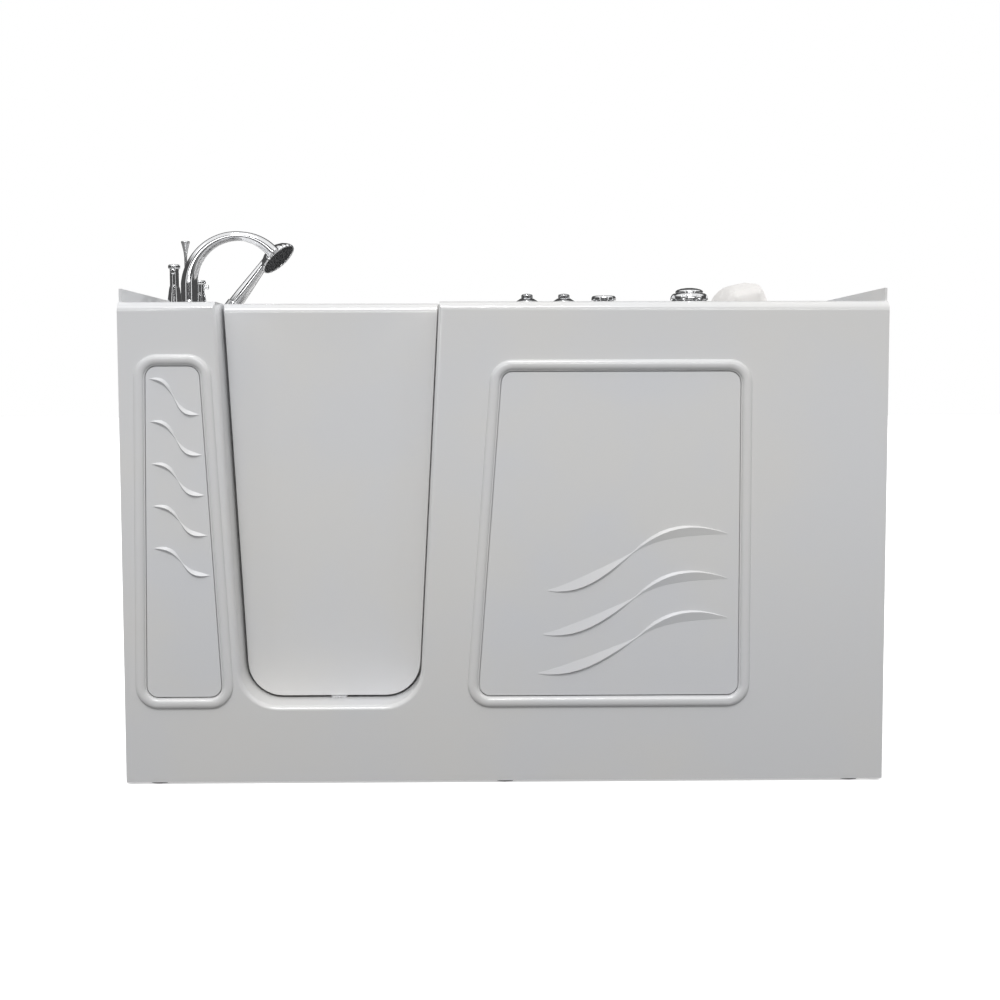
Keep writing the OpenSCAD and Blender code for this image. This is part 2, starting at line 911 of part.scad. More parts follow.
blower_inset = 86;
blower_x = frame_right - blower_inset;
blower_y = -130;
blower_radius = 62;
blower_height = 130;
blower_neck = 20;
blower_taper = 20;

module air_blower() {
  color(plastic_dark) translate([blower_x, blower_y, board_top]) {
    cylinder(r = blower_radius + 6, h = 8);
    cylinder(r = blower_radius, h = blower_height - blower_taper);
    translate([0, 0, blower_height - blower_taper])
      cylinder(r1 = blower_radius, r2 = blower_radius - blower_taper, h = blower_taper);
    translate([0, 0, blower_height - over]) cylinder(r = air_pipe + 5, h = blower_neck + over);
  }
}

box_length = 170;
box_depth = 90;
box_height = 210;
box_inset = 34;
box_front = 130;
box_lid = 8;
box_step = 6;

module control_box() {
  color("#cfd2d4") translate([frame_right - box_inset - box_length, box_front, board_top]) {
    cube([box_length, box_depth, box_height]);
    translate([box_step, box_step, box_height])
      cube([box_length - box_step * 2, box_depth - box_step * 2, box_lid]);
  }
}

// Suction through the riser
suction_throat = pump_pipe + 0.1;
suction_flange = 48;
suction_proud = 5;

module suction_fitting() {
  pipe_end = pump_inlet_x - pump_hose;
  color(plastic_pipe) difference() {
    union() {
      pipe_x(riser_x - suction_proud, riser_x, pump_y, pump_z, suction_flange);
      pipe_x(riser_x - suction_proud, pipe_end, pump_y, pump_z, pump_pipe);
      pipe_x(riser_x + shell_wall, riser_x + shell_wall + 14, pump_y, pump_z, pump_pipe + 12);
    }
    pipe_x(riser_x - suction_proud - over, pipe_end + over, pump_y, pump_z, pump_bore);
  }
}

module suction_cover() {
  slot_count = 12;
  cover = 14;
  color(chrome) translate([riser_x - suction_proud, pump_y, pump_z]) rotate([0, -90, 0]) difference() {
    union() {
      cylinder(r = suction_flange, h = 3);
      cylinder(r1 = suction_flange - 4, r2 = suction_flange - 14, h = cover);
    }
    translate([0, 0, -over]) cylinder(r = pump_bore, h = cover - 2);
    for (i = [0:slot_count - 1]) rotate([0, 0, 360 * i / slot_count])
      translate([10, -1.5, -over]) cube([20, 3, cover + over * 2]);
  }
}

// Pipes
jet_throat = 20;
foot_jet_rise = 220;
seat_jet_rise = 100;
back_jet_inset = 196;
back_jet_pitch = 240;
back_jets = [
  [basin_left + back_jet_inset, floor_height + foot_jet_rise],
  [basin_left + back_jet_inset + back_jet_pitch, floor_height + foot_jet_rise],
  [riser_x + 170, seat_height + seat_jet_rise],
  [backrest_foot - 125, seat_height + seat_jet_rise]
];
riser_jets = [
  [pump_y - 130, floor_height + foot_jet_rise],
  [pump_y + 190, floor_height + foot_jet_rise]
];
jet_body_depth = 22;
feed_radius = 10;
feed_y = shell_back + jet_body_depth + feed_radius;
feed_x = riser_x + shell_wall + jet_body_depth + feed_radius;
riser_jet_z = riser_jets[0][1];

module pump_pipes() {
  bend = 50;
  top = manifold_z;
  color(plastic_pipe) {
    difference() {
      pipe_x(pump_inlet_x - pump_hose, pump_inlet_x, pump_y, pump_z, pump_pipe);
      pipe_x(pump_inlet_x - pump_hose - over, pump_inlet_x + over, pump_y, pump_z, pump_bore);
    }
    pipe_z(pump_z + wet_radius + pump_neck, top - bend, wet_mid_x, outlet_y, pump_pipe);
    translate([wet_mid_x, outlet_y + bend, top - bend]) rotate([90, 0, -90])
      rotate_extrude(angle = 90) translate([bend, 0]) circle(pump_pipe);
    pipe_y(outlet_y + bend, feed_y - manifold_radius, wet_mid_x, top, pump_pipe);
  }
}

module water_manifold() {
  color(plastic_pipe) {
    pipe_x(
      back_jets[0][0] - feed_radius,
      back_jets[3][0] + feed_radius,
      feed_y,
      manifold_z,
      manifold_radius
    );
    for (jet = back_jets)
      pipe_z(
        min(jet[1] - feed_radius, manifold_z),
        max(jet[1] + feed_radius, manifold_z),
        jet[0],
        feed_y,
        feed_radius
      );
    pipe_z(riser_jet_z, manifold_z, feed_x, feed_y, feed_radius);
    pipe_y(riser_jets[0][0] - feed_radius, feed_y + feed_radius, feed_x, riser_jet_z, feed_radius - over);
  }
}

module jet_body() {
  // Local Z points out of the basin, away from the water
  difference() {
    union() {
      translate([0, 0, -3]) cylinder(r = jet_radius, h = 3);
      translate([0, 0, -3]) cylinder(r = jet_throat - 0.1, h = 3 + shell_wall + over);
      translate([0, 0, shell_wall]) cylinder(r = jet_throat + 9, h = 8);
      translate([0, 0, shell_wall]) cylinder(r = jet_throat + 2, h = jet_body_depth);
    }
    translate([0, 0, -3 - over]) cylinder(r = jet_seat, h = 3 + 12 + over);
    translate([0, 0, -3]) cylinder(r = jet_orifice, h = 3 + shell_wall + jet_body_depth + over);
  }
}
jet_seat = 17;
jet_orifice = 8;

module on_back_wall(place) {
  translate([place[0], basin_back, place[1]]) rotate([-90, 0, 0]) children();
}

module on_riser(place) {
  translate([riser_x, place[0], place[1]]) rotate([0, 90, 0]) children();
}

module jet_bodies() {
  color(chrome) {
    for (jet = back_jets) on_back_wall(jet) jet_body();
    for (jet = riser_jets) on_riser(jet) jet_body();
  }
}

// Turning nozzle with a slanted outlet and two finger lobes
module jet_nozzle() {
  depth = 14;
  color(chrome) difference() {
    union() {
      translate([0, 0, -5]) cylinder(r = jet_seat - running_gap, h = depth);
      translate([0, 0, -8]) cylinder(r = jet_seat - 4, h = 4);
      for (side = [-1, 1]) translate([side * (jet_seat - 7), 0, -9]) cylinder(r = 2.5, h = 5);
    }
    translate([0, 0, -8 - over]) cylinder(r = 5, h = depth + 10);
  }
}

module jet_nozzle_1() on_back_wall(back_jets[0]) jet_nozzle();
module jet_nozzle_2() on_back_wall(back_jets[1]) jet_nozzle();
module jet_nozzle_3() on_back_wall(back_jets[2]) jet_nozzle();
module jet_nozzle_4() on_back_wall(back_jets[3]) jet_nozzle();
module jet_nozzle_5() on_riser(riser_jets[0]) jet_nozzle();
module jet_nozzle_6() on_riser(riser_jets[1]) jet_nozzle();

// Air system
air_pipe = 16;
air_loop = 12;
air_jet_stem = 5;
air_jet_drop = 14;
air_jet_half = 70;
seat_flat = backrest_foot - seat_cove - riser_x - seat_nose;
air_jet_rows_x = [for (i = [0:3]) riser_x + seat_nose + seat_flat * (0.29 + 0.19 * i)];
air_jet_rows_y = [basin_mid_y - air_jet_half, basin_mid_y + air_jet_half];
air_loop_z = seat_under - air_jet_drop - air_loop;
manifold_drop = 68;
manifold_z = air_loop_z - manifold_drop;

module air_jets() {
  color(chrome) for (x = air_jet_rows_x, y = air_jet_rows_y) translate([x, y, seat_height]) {
    translate([0, 0, -shell_wall - air_jet_drop])
      cylinder(r = air_jet_stem, h = shell_wall + air_jet_drop + over);
    difference() {
      cylinder(r = 11, h = 3);
      for (turn = [0:60:300]) rotate([0, 0, turn]) translate([7.5, 0, 1]) cylinder(r = 1, h = 3);
    }
  }
}

module air_pipes() {
  run_left = air_jet_rows_x[0] - air_loop;
  run_right = air_jet_rows_x[3] + air_loop;
  cross_x = run_right - air_loop * 2;
  cross_z = seat_under - portal_width - air_loop - 6;
  color(plastic_pipe) {
    for (y = air_jet_rows_y) pipe_x(run_left, run_right, y, air_loop_z, air_loop);
    pipe_y(blower_y, air_jet_rows_y[1], cross_x, air_loop_z, air_loop - over);
    pipe_z(cross_z, air_loop_z + air_loop, cross_x, blower_y, air_loop);
    pipe_x(cross_x - air_loop - over, blower_x + air_pipe - over, blower_y, cross_z, air_loop + over);
    pipe_z(board_top + blower_height + blower_neck, cross_z + air_pipe + over, blower_x, blower_y, air_pipe);
  }
}

// Line from the two air controls to the water manifold
line_drop = 38;
line_gap = 64;
module air_line() {
  line = 6;
  line_z = seat_under - line_drop;
  line_x = riser_x + line_gap;
  color(rubber_tone) {
    for (x = [air_left_x, air_right_x]) pipe_z(line_z - line, control_body_foot, x, control_y, line);
    pipe_x(air_left_x - line, line_x + line, control_y, line_z, line - 0.5);
    pipe_y(control_y, feed_y + line, line_x, line_z, line - 1);
    pipe_z(manifold_z + manifold_radius, line_z, line_x, feed_y, line - 0.5);
  }
}

// Tap group on the left deck
tap_x = left_x + tap_line;
hot_y = -98;
spout_y = -5;
lift_y = 36;
cold_y = back_y - 166;
tap_base_height = 44;
tap_base_foot = 17;
tap_base_neck = 11;
tap_hole = 14;
lift_hole = 5;

module tap_base(y) {
  translate([tap_x, y, rim_height]) difference() {
    union() {
      cylinder(r = tap_base_foot + 3, h = 4);
      translate([0, 0, 4 - over])
        cylinder(r1 = tap_base_foot, r2 = tap_base_neck, h = tap_base_height - 4 + over);
    }
    translate([0, 0, 16]) cylinder(r = 7 + running_gap, h = tap_base_height);
  }
}

module valve_bases() {
  color("#4a4e54") {
    tap_base(hot_y);
    tap_base(cold_y);
  }
  color(chrome) translate([tap_x, lift_y, rim_height]) difference() {
    cylinder(r = 11, h = 8);
    translate([0, 0, -over]) cylinder(r = lift_rod_radius + running_gap, h = 8 + over * 2);
  }
}

// Lever handle: slim barrel under a thick round cap, and a stub lever that ends in a small disc
module tap_handle(y, height, lever_turn) {
  hub_foot = tap_base_height + rest_gap;
  barrel = 9.6;
  cap = 12.8;
  cap_foot = height - 9.3;
  lever = 15;
  translate([tap_x, y, rim_height]) {
    translate([0, 0, 18]) cylinder(r = 7, h = hub_foot - 17);
    turned(concat(
      [[0, hub_foot], [barrel + 0.8, hub_foot], [barrel, hub_foot + 4], [barrel, cap_foot]],
      edge_arc(cap - 2.5, cap_foot + 2.5, 2.5, 2.5, -90, 0),
      edge_arc(cap - 4, height - 4, 4, 4, 0, 90),
      [[0, height]]
    ));
    translate([0, 0, height - 16]) rotate([0, 0, lever_turn]) rotate([0, 90, 0]) {
      cylinder(r = 3.6, h = lever + over);
      translate([0, 0, lever]) turned(concat(
        [[0, 0], [4.4, 0], [5.4, 1]],
        edge_arc(3.4, 2.5, 2, 2, 0, 90),
        [[0, 4.5]]
      ));
    }
  }
}

module hot_handle() {
  color(chrome) tap_handle(hot_y, hot_height, -90);
}

module cold_handle() {
  color(chrome) tap_handle(cold_y, cold_height, 0);
}

lift_rod_radius = 3;
lift_travel = 15;

module lift_rod() {
  flare = 35;
  top = 9.5;
  lip = 1.5;
  color(chrome) translate([tap_x, lift_y, rim_height]) turned(concat(
    [[0, -shell_wall - 12], [lift_rod_radius, -shell_wall - 12]],
    [for (k = [0:8])
      let (t = k / 8)
      [
        lift_rod_radius + (top - lift_rod_radius) * pow(t, 1.6),
        lift_rod_height - lip * 2 - flare * (1 - t)
      ]],
    edge_arc(top - lip, lift_rod_height - lip, lip, lip, 0, 90),
    [[0, lift_rod_height]]
  ));
}

// Gooseneck spout: a tube that slims over the crown of its bend and swells a little at its mouth
spout_flange = 27;
spout_shift = 14.5;
spout_x = tap_x + spout_shift;
spout_turn = 135;
spout_crown = 95;
spout_steps = 20;
spout_sides = 28;
spout_lip = 6;
spout_lap = 0.5;
spout_centre = [spout_x + spout_bend, rim_height + spout_neck];

function spout_tube(turn) =
  spout_waist
  + (spout_foot - spout_waist) * pow(max(1 - turn / spout_crown, 0), 1.5)
  + (spout_mouth - spout_waist) * max((turn - spout_crown) / (spout_turn - spout_crown), 0);
function spout_arc(turn) = spout_bend + (spout_reach - spout_bend) * turn / spout_turn;
function spout_ring(turn, drop) = [
  for (i = [0:spout_sides - 1])
    let (
      angle = 360 * i / spout_sides,
      reach = spout_arc(turn) + spout_tube(turn) * cos(angle)
    )
    [
      spout_centre[0] - reach * cos(turn),
      spout_y + spout_tube(turn) * sin(angle),
      spout_centre[1] + reach * sin(turn) - drop
    ]
];

module tub_spout() {
  rings = concat(
    [spout_ring(0, spout_neck - over)],
    [for (k = [0:spout_steps]) spout_ring(spout_turn * k / spout_steps, 0)]
  );
  color(chrome) {
    translate([spout_x, spout_y, rim_height]) {
      cylinder(r = spout_flange, h = 5);
      cylinder(r1 = spout_flange - 4, r2 = spout_foot + 0.4, h = 16);
    }
    ring_solid(rings);
    translate([
      spout_centre[0] - spout_reach * cos(spout_turn),
      spout_y,
      spout_centre[1] + spout_reach * sin(spout_turn)
    ])
      rotate([0, spout_turn, 0]) difference() {
        translate([0, 0, -spout_lap]) cylinder(r = spout_mouth, h = spout_lip + spout_lap);
        cylinder(r = spout_mouth - 2.5, h = spout_lip + over);
      }
  }
}

// Hand shower, leaning towards the basin
shower_x = tap_x + 49;
shower_y = back_y - 96;
sleeve_bore = 15.3;
sleeve_radius = 19;
sleeve_top = 34;
shower_reach = 182;
head_offset = 18.6;
head_tilt = 9;
handle_foot = 16.2;
handle_neck = 10.2;
handle_taper = 115;
shower_turn = 15;
rim_notches = 24;

module along_shower() {
  translate([shower_x, shower_y, rim_height]) rotate([0, shower_lean, 0]) children();
}

module shower_cradle() {
  color(chrome) difference() {
    union() {
      translate([shower_x, shower_y, rim_height]) cylinder(r = 29, h = 5);
      along_shower() translate([0, 0, -10]) cylinder(r = sleeve_radius, h = sleeve_top + 10);
    }
    along_shower() translate([0, 0, 12]) cylinder(r = sleeve_bore, h = sleeve_top);
    block([shower_x - 60, shower_y - 60, rim_height - 60], [shower_x + 60, shower_y + 60, rim_height]);
  }
}

module shower_head_place() {
  along_shower() rotate([0, 0, -shower_turn])
    translate([head_offset, 0, shower_reach]) rotate([0, 90 - head_tilt, 0]) children();
}

module hand_shower() {
  dome = 30;
  dome_radius = (shower_radius * shower_radius + dome * dome) / (2 * dome);
  taper_start = sleeve_top + rest_gap;
  color(chrome) {
    along_shower() {
      translate([0, 0, 12 + rest_gap]) cylinder(r = sleeve_bore - rest_gap, h = sleeve_top - 12);
      translate([0, 0, taper_start]) cylinder(r1 = handle_foot, r2 = handle_neck, h = handle_taper);
      translate([0, 0, taper_start + handle_taper - over])
        cylinder(r = handle_neck, h = shower_reach - taper_start - handle_taper + over);
    }
    shower_head_place() {
      intersection() {
        translate([0, 0, dome_radius - dome]) sphere(r = dome_radius, $fn = 96);
        translate([0, 0, -dome]) cylinder(r = shower_radius, h = dome + over);
      }
      difference() {
        cylinder(r = shower_radius, h = 5);
        translate([0, 0, over]) cylinder(r = shower_radius - 4, h = 5);
        for (i = [0:rim_notches - 1]) rotate([0, 0, 360 * i / rim_notches])
          translate([shower_radius + 1.3, 0, -over]) cylinder(r = 2.6, h = 5);
      }
    }
  }
}

module spray_face() {
  nub_rings = [[1, 0], [8, 14], [14, 26], [20, 37]];
  color("#55595e") shower_head_place() {
    translate([0, 0, over]) cylinder(r = shower_radius - 4, h = 3);
    for (ring = nub_rings, i = [0:ring[0] - 1]) rotate([0, 0, 360 * i / ring[0]])
      translate([ring[1], 0, 3]) cylinder(r = 1.4, h = 3, $fn = 16);
  }
}

// Valve body under the left deck, with the two supply inlets
inlet_length = 35;
inlet_drop = 130;
inlet_foot = deck_under - inlet_drop;
spout_shank = 12.5;

module tap_valve_body() {
  body_foot = inlet_foot + inlet_length;
  rail_z = deck_under - 60;
  color("#b49a5a") {
    for (y = [hot_y, cold_y]) {
      pipe_z(body_foot, deck_under, tap_x, y, tap_hole + 3);
      pipe_z(inlet_foot, body_foot + over, tap_x, y, inlet_radius);
    }
    pipe_y(hot_y, cold_y, tap_x, rail_z, 9);
    pipe_z(rail_z, deck_under, spout_x, spout_y, spout_shank);
    difference() {
      pipe_z(rail_z - 14, deck_under, tap_x, lift_y, 12);
      pipe_z(deck_under - 18 - lift_travel, deck_under + over, tap_x, lift_y, lift_rod_radius + 0.5);
    }
  }
}

// Controls on the front deck
control_y = (apron_y + basin_front) / 2;
air_left_x = 46;
air_right_x = 120;
button_x = 200;
diverter_x = 372;
control_body_foot = deck_under - 44;
bezel_height = 7;
knob_stem = 6;
stem_bore = knob_stem + running_gap;
deck_holes = [
  [air_left_x, control_y, knob_stem + 1],
  [air_right_x, control_y, knob_stem + 1],
  [button_x, control_y, knob_stem + 1],
  [diverter_x, control_y, knob_stem + 1],
  [tap_x, lift_y, lift_hole]
];

module control_bezels() {
  color(chrome) {
    for (x = [air_left_x, air_right_x]) translate([x, control_y, rim_height]) turned([
      [stem_bore, 0],
      [air_bezel, 0],
      [air_bezel, 1.5],
      [air_bezel - 8.5, bezel_height],
      [stem_bore, bezel_height]
    ]);
    translate([button_x, control_y, rim_height]) turned([
      [stem_bore, 0], [button_bezel - 4.5, 0], [button_bezel - 4.5, 4.5], [stem_bore, 4.5]
    ]);
    translate([diverter_x, control_y, rim_height]) turned([
      [stem_bore, 0], [diverter_radius - 2, 0], [diverter_radius - 2, 3], [stem_bore, 3]
    ]);
  }
}

// Small air control: fluted knob with a domed top
module air_knob(x) {
  knob = 11.5;
  knob_foot = bezel_height + rest_gap;
  flutes = 8;
  color(chrome) translate([x, control_y, rim_height]) difference() {
    turned(concat(
      [[0, -shell_wall - 10], [knob_stem, -shell_wall - 10], [knob_stem, knob_foot], [knob, knob_foot]],
      edge_arc(0, knob_foot + 6, knob, 3.5, 0, 90)
    ));
    for (i = [0:flutes - 1]) rotate([0, 0, 360 * (i + 0.5) / flutes])
      translate([knob + 0.6, 0, knob_foot - over]) cylinder(r = 2.4, h = 5 + over);
  }
}

module air_knob_left() air_knob(air_left_x);
module air_knob_right() air_knob(air_right_x);

// Low round button that covers its own guide
module push_button() {
  wall = 3;
  cap_foot = button_travel + rest_gap;
  cap_top = cap_foot + 9;
  round = 5;
  color(chrome) translate([button_x, control_y, rim_height]) turned(concat(
    [
      [0, -shell_wall - 10],
      [knob_stem, -shell_wall - 10],
      [knob_stem, cap_foot + 5],
      [button_bezel - wall, cap_foot + 5],
      [button_bezel - wall, cap_foot],
      [button_bezel, cap_foot]
    ],
    edge_arc(button_bezel - round, cap_top - round, round, round, 0, 90),
    [[0, cap_top]]
  ));
}

// Large diverter knob: bell with arched recesses around its foot, a groove and a domed cap
module diverter_knob() {
  skirt = 2.7;
  waist = diverter_radius * 0.77;
  groove = waist - 2;
  knob_foot = 3 + rest_gap;
  bell_top = diverter_height - 11;
  dome = 8;
  scallops = 8;
  color(chrome) translate([diverter_x, control_y, rim_height]) difference() {
    turned(concat(
      [
        [0, -shell_wall - 10],
        [knob_stem, -shell_wall - 10],
        [knob_stem, knob_foot],
        [diverter_radius, knob_foot]
      ],
      edge_arc(waist, knob_foot + skirt, diverter_radius - waist, bell_top - knob_foot - skirt, 0, 90),
      [[groove, bell_top], [groove, bell_top + 1.5], [waist - 1, bell_top + 1.5]],
      edge_arc(0, diverter_height - dome, waist - 1, dome, 0, 90)
    ));
    for (i = [0:scallops - 1]) rotate([0, 0, 360 * (i + 0.5) / scallops])
      translate([diverter_radius + 3, 0, knob_foot + skirt]) sphere(r = 8.5);
  }
}

// Bodies that hang under the deck below each control
module deck_valve_bodies() {
  color(plastic_dark) {
    for (x = [air_left_x, air_right_x, button_x])
      translate([x, control_y, control_body_foot]) difference() {
        union() {
          cylinder(r = 12, h = deck_under - control_body_foot);
          translate([0, 0, 26]) cylinder(r = 19, h = 8);
        }
        translate([0, 0, 24]) cylinder(r = stem_bore, h = 40);
      }
    translate([diverter_x, control_y, control_body_foot - 40]) difference() {
      union() {
        cylinder(r = 24, h = deck_under - control_body_foot + 40);
        for (turn = [0, 90, 180]) rotate([0, 0, turn]) translate([0, 0, 26]) rotate([0, 90, 0])
          cylinder(r = 13, h = 42);
      }
      translate([0, 0, 64]) cylinder(r = stem_bore, h = 40);
    }
  }
}

// Neck pillow: soft block with a crown and drawn-in ends, leaning on the backrest
backrest_slope = backrest_lean / (rim_height - seat_height);
function backrest_x(z) = backrest_foot + (z - seat_height) * backrest_slope;
pillow_drop = 107;
pillow_rise = 60;
pillow_foot = rim_height - pillow_drop;
pillow_crown = rim_height + pillow_rise;
pillow_rest = 0.45;

module neck_pillow() {
  pillow_rings = 14;
  back_x = backrest_x(pillow_foot) - pillow_rest;
  outline = rounded(
    [
      [back_x - 50, pillow_foot + 2],
      [back_x, pillow_foot],
      [backrest_x(rim_height - 45) - pillow_rest, rim_height - 45],
      [back_x - 4, rim_height + 8],
      [back_x - 22, pillow_crown + 2],
      [back_x - 98, pillow_crown - 15],
      [back_x - 118, rim_height - 10]
    ],
    [20, 8, 30, 30, 10, 16, 26]
  );
  centre = [back_x - 58, (pillow_foot + pillow_crown) / 2];
  rings = [
    for (k = [0:pillow_rings])
      let (
        turn = 180 * k / pillow_rings,
        share = cos(turn),
        size = 0.35 + 0.65 * pow(sin(turn), 0.5)
      )
      at_depth([for (p = outline) centre + (p - centre) * size], 28 - share * pillow_length / 2)
  ];
  color(cushion_tone) ring_solid([for (k = [pillow_rings:-1:0]) rings[k]]);
}

// Grab bar on the back wall
grab_z = rim_height - 165;
grab_left = -100;

module grab_bar() {
  bend = 40;
  grab_y = basin_back - grab_clear - grab_radius;
  grab_right = grab_left + grab_length;
  flange = 38;
  color(chrome) {
    pipe_x(grab_left + bend, grab_right - bend, grab_y, grab_z, grab_radius);
    translate([grab_left + bend, grab_y + bend, grab_z]) rotate([0, 0, 180])
      rotate_extrude(angle = 90) translate([bend, 0]) circle(grab_radius);
    translate([grab_right - bend, grab_y + bend, grab_z]) rotate([0, 0, -90])
      rotate_extrude(angle = 90) translate([bend, 0]) circle(grab_radius);
    for (x = [grab_left, grab_right]) {
      pipe_y(grab_y + bend, basin_back, x, grab_z, grab_radius);
      pipe_y(basin_back - 5, basin_back, x, grab_z, flange);
    }
  }
}

// Door skins, core and seal
module door_side(front, back, radius) {
  along_x(left_x, right_x) rolled_side(front, back, 0, radius);
}

module door_outer_skin() {
  plug = pushed(doorway_outline, -door_gap);
  color(moulding) difference() {
    intersection() {
      along_y(door_front, door_land) polygon(plug);
      door_side(door_front, door_land + over, rim_radius);
    }
    intersection() {
      along_y(door_front + door_skin, door_land + over) polygon(pushed(plug, -door_skin));
      block(
        [left_x, door_front, 0],
        [right_x, back_y, rim_height - door_skin - rim_radius / 3]
      );
    }
  }
}

module door_inner_skin() {
  flange = pushed(doorway_outline, door_overlap);
  opening = pushed(doorway_outline, -door_gap - door_skin);
  color(moulding) difference() {
    intersection() {
      along_y(door_land, door_back) polygon(flange);
      block([left_x, door_land - over, 0], [right_x, door_back + over, rim_height]);
    }
    intersection() {
      union() {
        along_y(door_land + door_skin, door_back - door_skin) polygon(pushed(flange, -door_skin));
        along_y(door_land - over, door_land + door_skin + over) polygon(opening);
      }
      block(
        [left_x, door_land - over * 2, 0],
        [right_x, door_back, rim_height - door_skin - rim_radius / 3]
      );
    }
    pipe_y(
      door_back - door_skin - over,
      door_back + over,
      latch_x,
      latch_height,
      latch_spindle + running_gap
    );
  }
}

// Aluminium ladder between the skins
module door_core() {
  bar = 20;
  front = door_front + door_skin;
  back = door_back - door_skin;
  half = doorway_foot / 2 - door_gap - door_skin - bar - 12;
  foot = sill_height + doorway_corner * 0.6;
  head = rim_height - door_skin - rim_radius / 3 - 12;
  color(steel) {
    for (side = [-1, 1]) translate([doorway_x + side * half - bar / 2, 0, 0])
      block([0, front, foot], [bar, back, head]);
    for (z = [foot, (foot + head) / 2, head - bar])
      block([doorway_x - half, front, z], [doorway_x + half, back, z + bar]);
  }
}

module door_seal() {
  inner = (door_overlap - seal_width) / 2;
  color(rubber_tone) intersection() {
    along_y(seal_front, door_land) difference() {
      polygon(pushed(doorway_outline, inner + seal_width));
      polygon(pushed(doorway_outline, inner));
    }
    block([left_x, seal_front - over, 0], [right_x, door_land + over, rim_height - 12]);
  }
}

// Hinges
hinge_x = doorway_x - doorway_top / 2 - hinge_offset;
hinge_y = door_back - 4;
hinge_above_sill = 132;
hinge_below_rim = 165;
hinge_places = [sill_height + hinge_above_sill, rim_height - hinge_below_rim];
hinge_leaf = 2.5;

module hinge_fixed_leaves() {
  third = hinge_height / 3;
  color(chrome) for (z = hinge_places) {
    for (part = [0, 2]) {
      pipe_z(z + third * part, z + third * (part + 1), hinge_x, hinge_y, knuckle_radius);
      block(
        [hinge_x - 3, basin_front + 3, z + third * part],
        [hinge_x + 3, hinge_y - 2, z + third * (part + 1)]
      );
    }
    pipe_z(z - 3, z + hinge_height + 3, hinge_x, hinge_y, hinge_pin);
    block([hinge_x, basin_front, z], [hinge_x + 17, basin_front + 4, z + hinge_height]);
  }
}

module hinge_moving_leaves() {
  third = hinge_height / 3;
  color(chrome) for (z = hinge_places) difference() {
    union() {
      pipe_z(z + third + rest_gap, z + third * 2 - rest_gap, hinge_x, hinge_y, knuckle_radius);
      block(
        [hinge_x + 3, door_back, z + third + rest_gap],
        [hinge_x + 24, door_back + hinge_leaf, z + third * 2 - rest_gap]
      );
      block(
        [hinge_x + 24 - over, door_back, z],
        [hinge_x + 84 + (rim_height - z) * doorway_slope, door_back + hinge_leaf, z + hinge_height]
      );
    }
    pipe_z(z, z + hinge_height, hinge_x, hinge_y, hinge_pin + running_gap);
  }
}

// Latch
latch_x = doorway_x + doorway_half(latch_height) - 18;
latch_spindle = 6;
tongue_reach = 66;
tongue_y = door_back + 4;
tongue_wall = 6;
lever_reach = 90;

module latch_handle() {
  hub = 12;
  hub_top = door_back + 24;
  color(chrome) {
    pipe_y(door_back - door_skin, door_back + over * 2, latch_x, latch_height, latch_spindle);
    pipe_y(door_back + rest_gap, hub_top, latch_x, latch_height, hub);
    block(
      [latch_x - 7, tongue_y, latch_height - tongue_reach],
      [latch_x + 7, tongue_y + tongue_wall, latch_height]
    );
    block(
      [latch_x - lever_reach, hub_top - 9, latch_height - 8],
      [latch_x, hub_top - 1, latch_height + 8]
    );
    pipe_y(hub_top - 9, hub_top - 1, latch_x - lever_reach, latch_height, 8);
  }
}

module latch_keeper() {
  hook_left = latch_x + tongue_reach - 24;
  post_x = latch_x + tongue_reach + 14;
  hook_y = tongue_y + tongue_wall + 4;
  color(chrome) {
    block(
      [hook_left + 4, basin_front, latch_height - 25],
      [post_x + 14, basin_front + 4, latch_height + 25]
    );
    block([post_x, basin_front + 3, latch_height - 15], [post_x + 8, hook_y + 1, latch_height + 15]);
    block([hook_left, hook_y, latch_height - 15], [post_x + 8, hook_y + 6, latch_height + 15]);
  }
}

// Drain and overflow
drain_x = basin_left + 71;
drain_y = 28;
drain_throat = 25;
drain_flange = 40;
drain_bore = 21;
plug_travel = 10;
overflow_z = rim_height - 115;
overflow_throat = 20;
knob_stem_length = 8;
overflow_pipe_x = basin_left - shell_wall - 22;
tail_x = overflow_pipe_x;
shoe_z = floor_under - 34;
tail_foot = 12;
tee_foot = shoe_z - waste_radius - 2;

module drain_body() {
  color(chrome) difference() {
    union() {
      pipe_z(floor_height, floor_height + 3, drain_x, drain_y, drain_flange);
      pipe_z(shoe_z - waste_radius - 3, floor_height + over, drain_x, drain_y, drain_throat - 0.1);
      pipe_x(tail_x, drain_x, drain_y, shoe_z, waste_radius - 2);
      pipe_z(tail_foot, tee_foot + over, tail_x, drain_y, waste_radius);
      pipe_z(tee_foot, shoe_z + waste_radius + 6, tail_x, drain_y, waste_radius + 4);
      pipe_z(shoe_z, overflow_z, tail_x, drain_y, waste_radius - 4);
    }
    pipe_z(shoe_z, floor_height + 3 + over, drain_x, drain_y, drain_bore);
    pipe_z(tail_foot - over, shoe_z, tail_x, drain_y, waste_radius - 2.5);
  }
}

module drain_plug() {
  color(chrome) translate([drain_x, drain_y, floor_height]) {
    translate([0, 0, -12]) cylinder(r = drain_bore - rest_gap, h = 12 + over);
    translate([0, 0, 3 + rest_gap]) cylinder(r1 = drain_flange - 10, r2 = drain_flange - 16, h = 5);
    cylinder(r = drain_bore - rest_gap, h = 5);
    translate([0, 0, -30]) cylinder(r = 3, h = 20);
  }
}

module overflow_fitting() {
  color(chrome) difference() {
    union() {
      pipe_x(basin_left, basin_left + 4, drain_y, overflow_z, 38);
      pipe_x(tail_x + waste_radius - 4, basin_left + over, drain_y, overflow_z, overflow_throat - 0.1);
      pipe_z(overflow_z, overflow_z + 26, tail_x, drain_y, waste_radius - 1);
    }
    pipe_x(basin_left - knob_stem_length, basin_left + 4 + over, drain_y, overflow_z, stem_bore);
  }
}

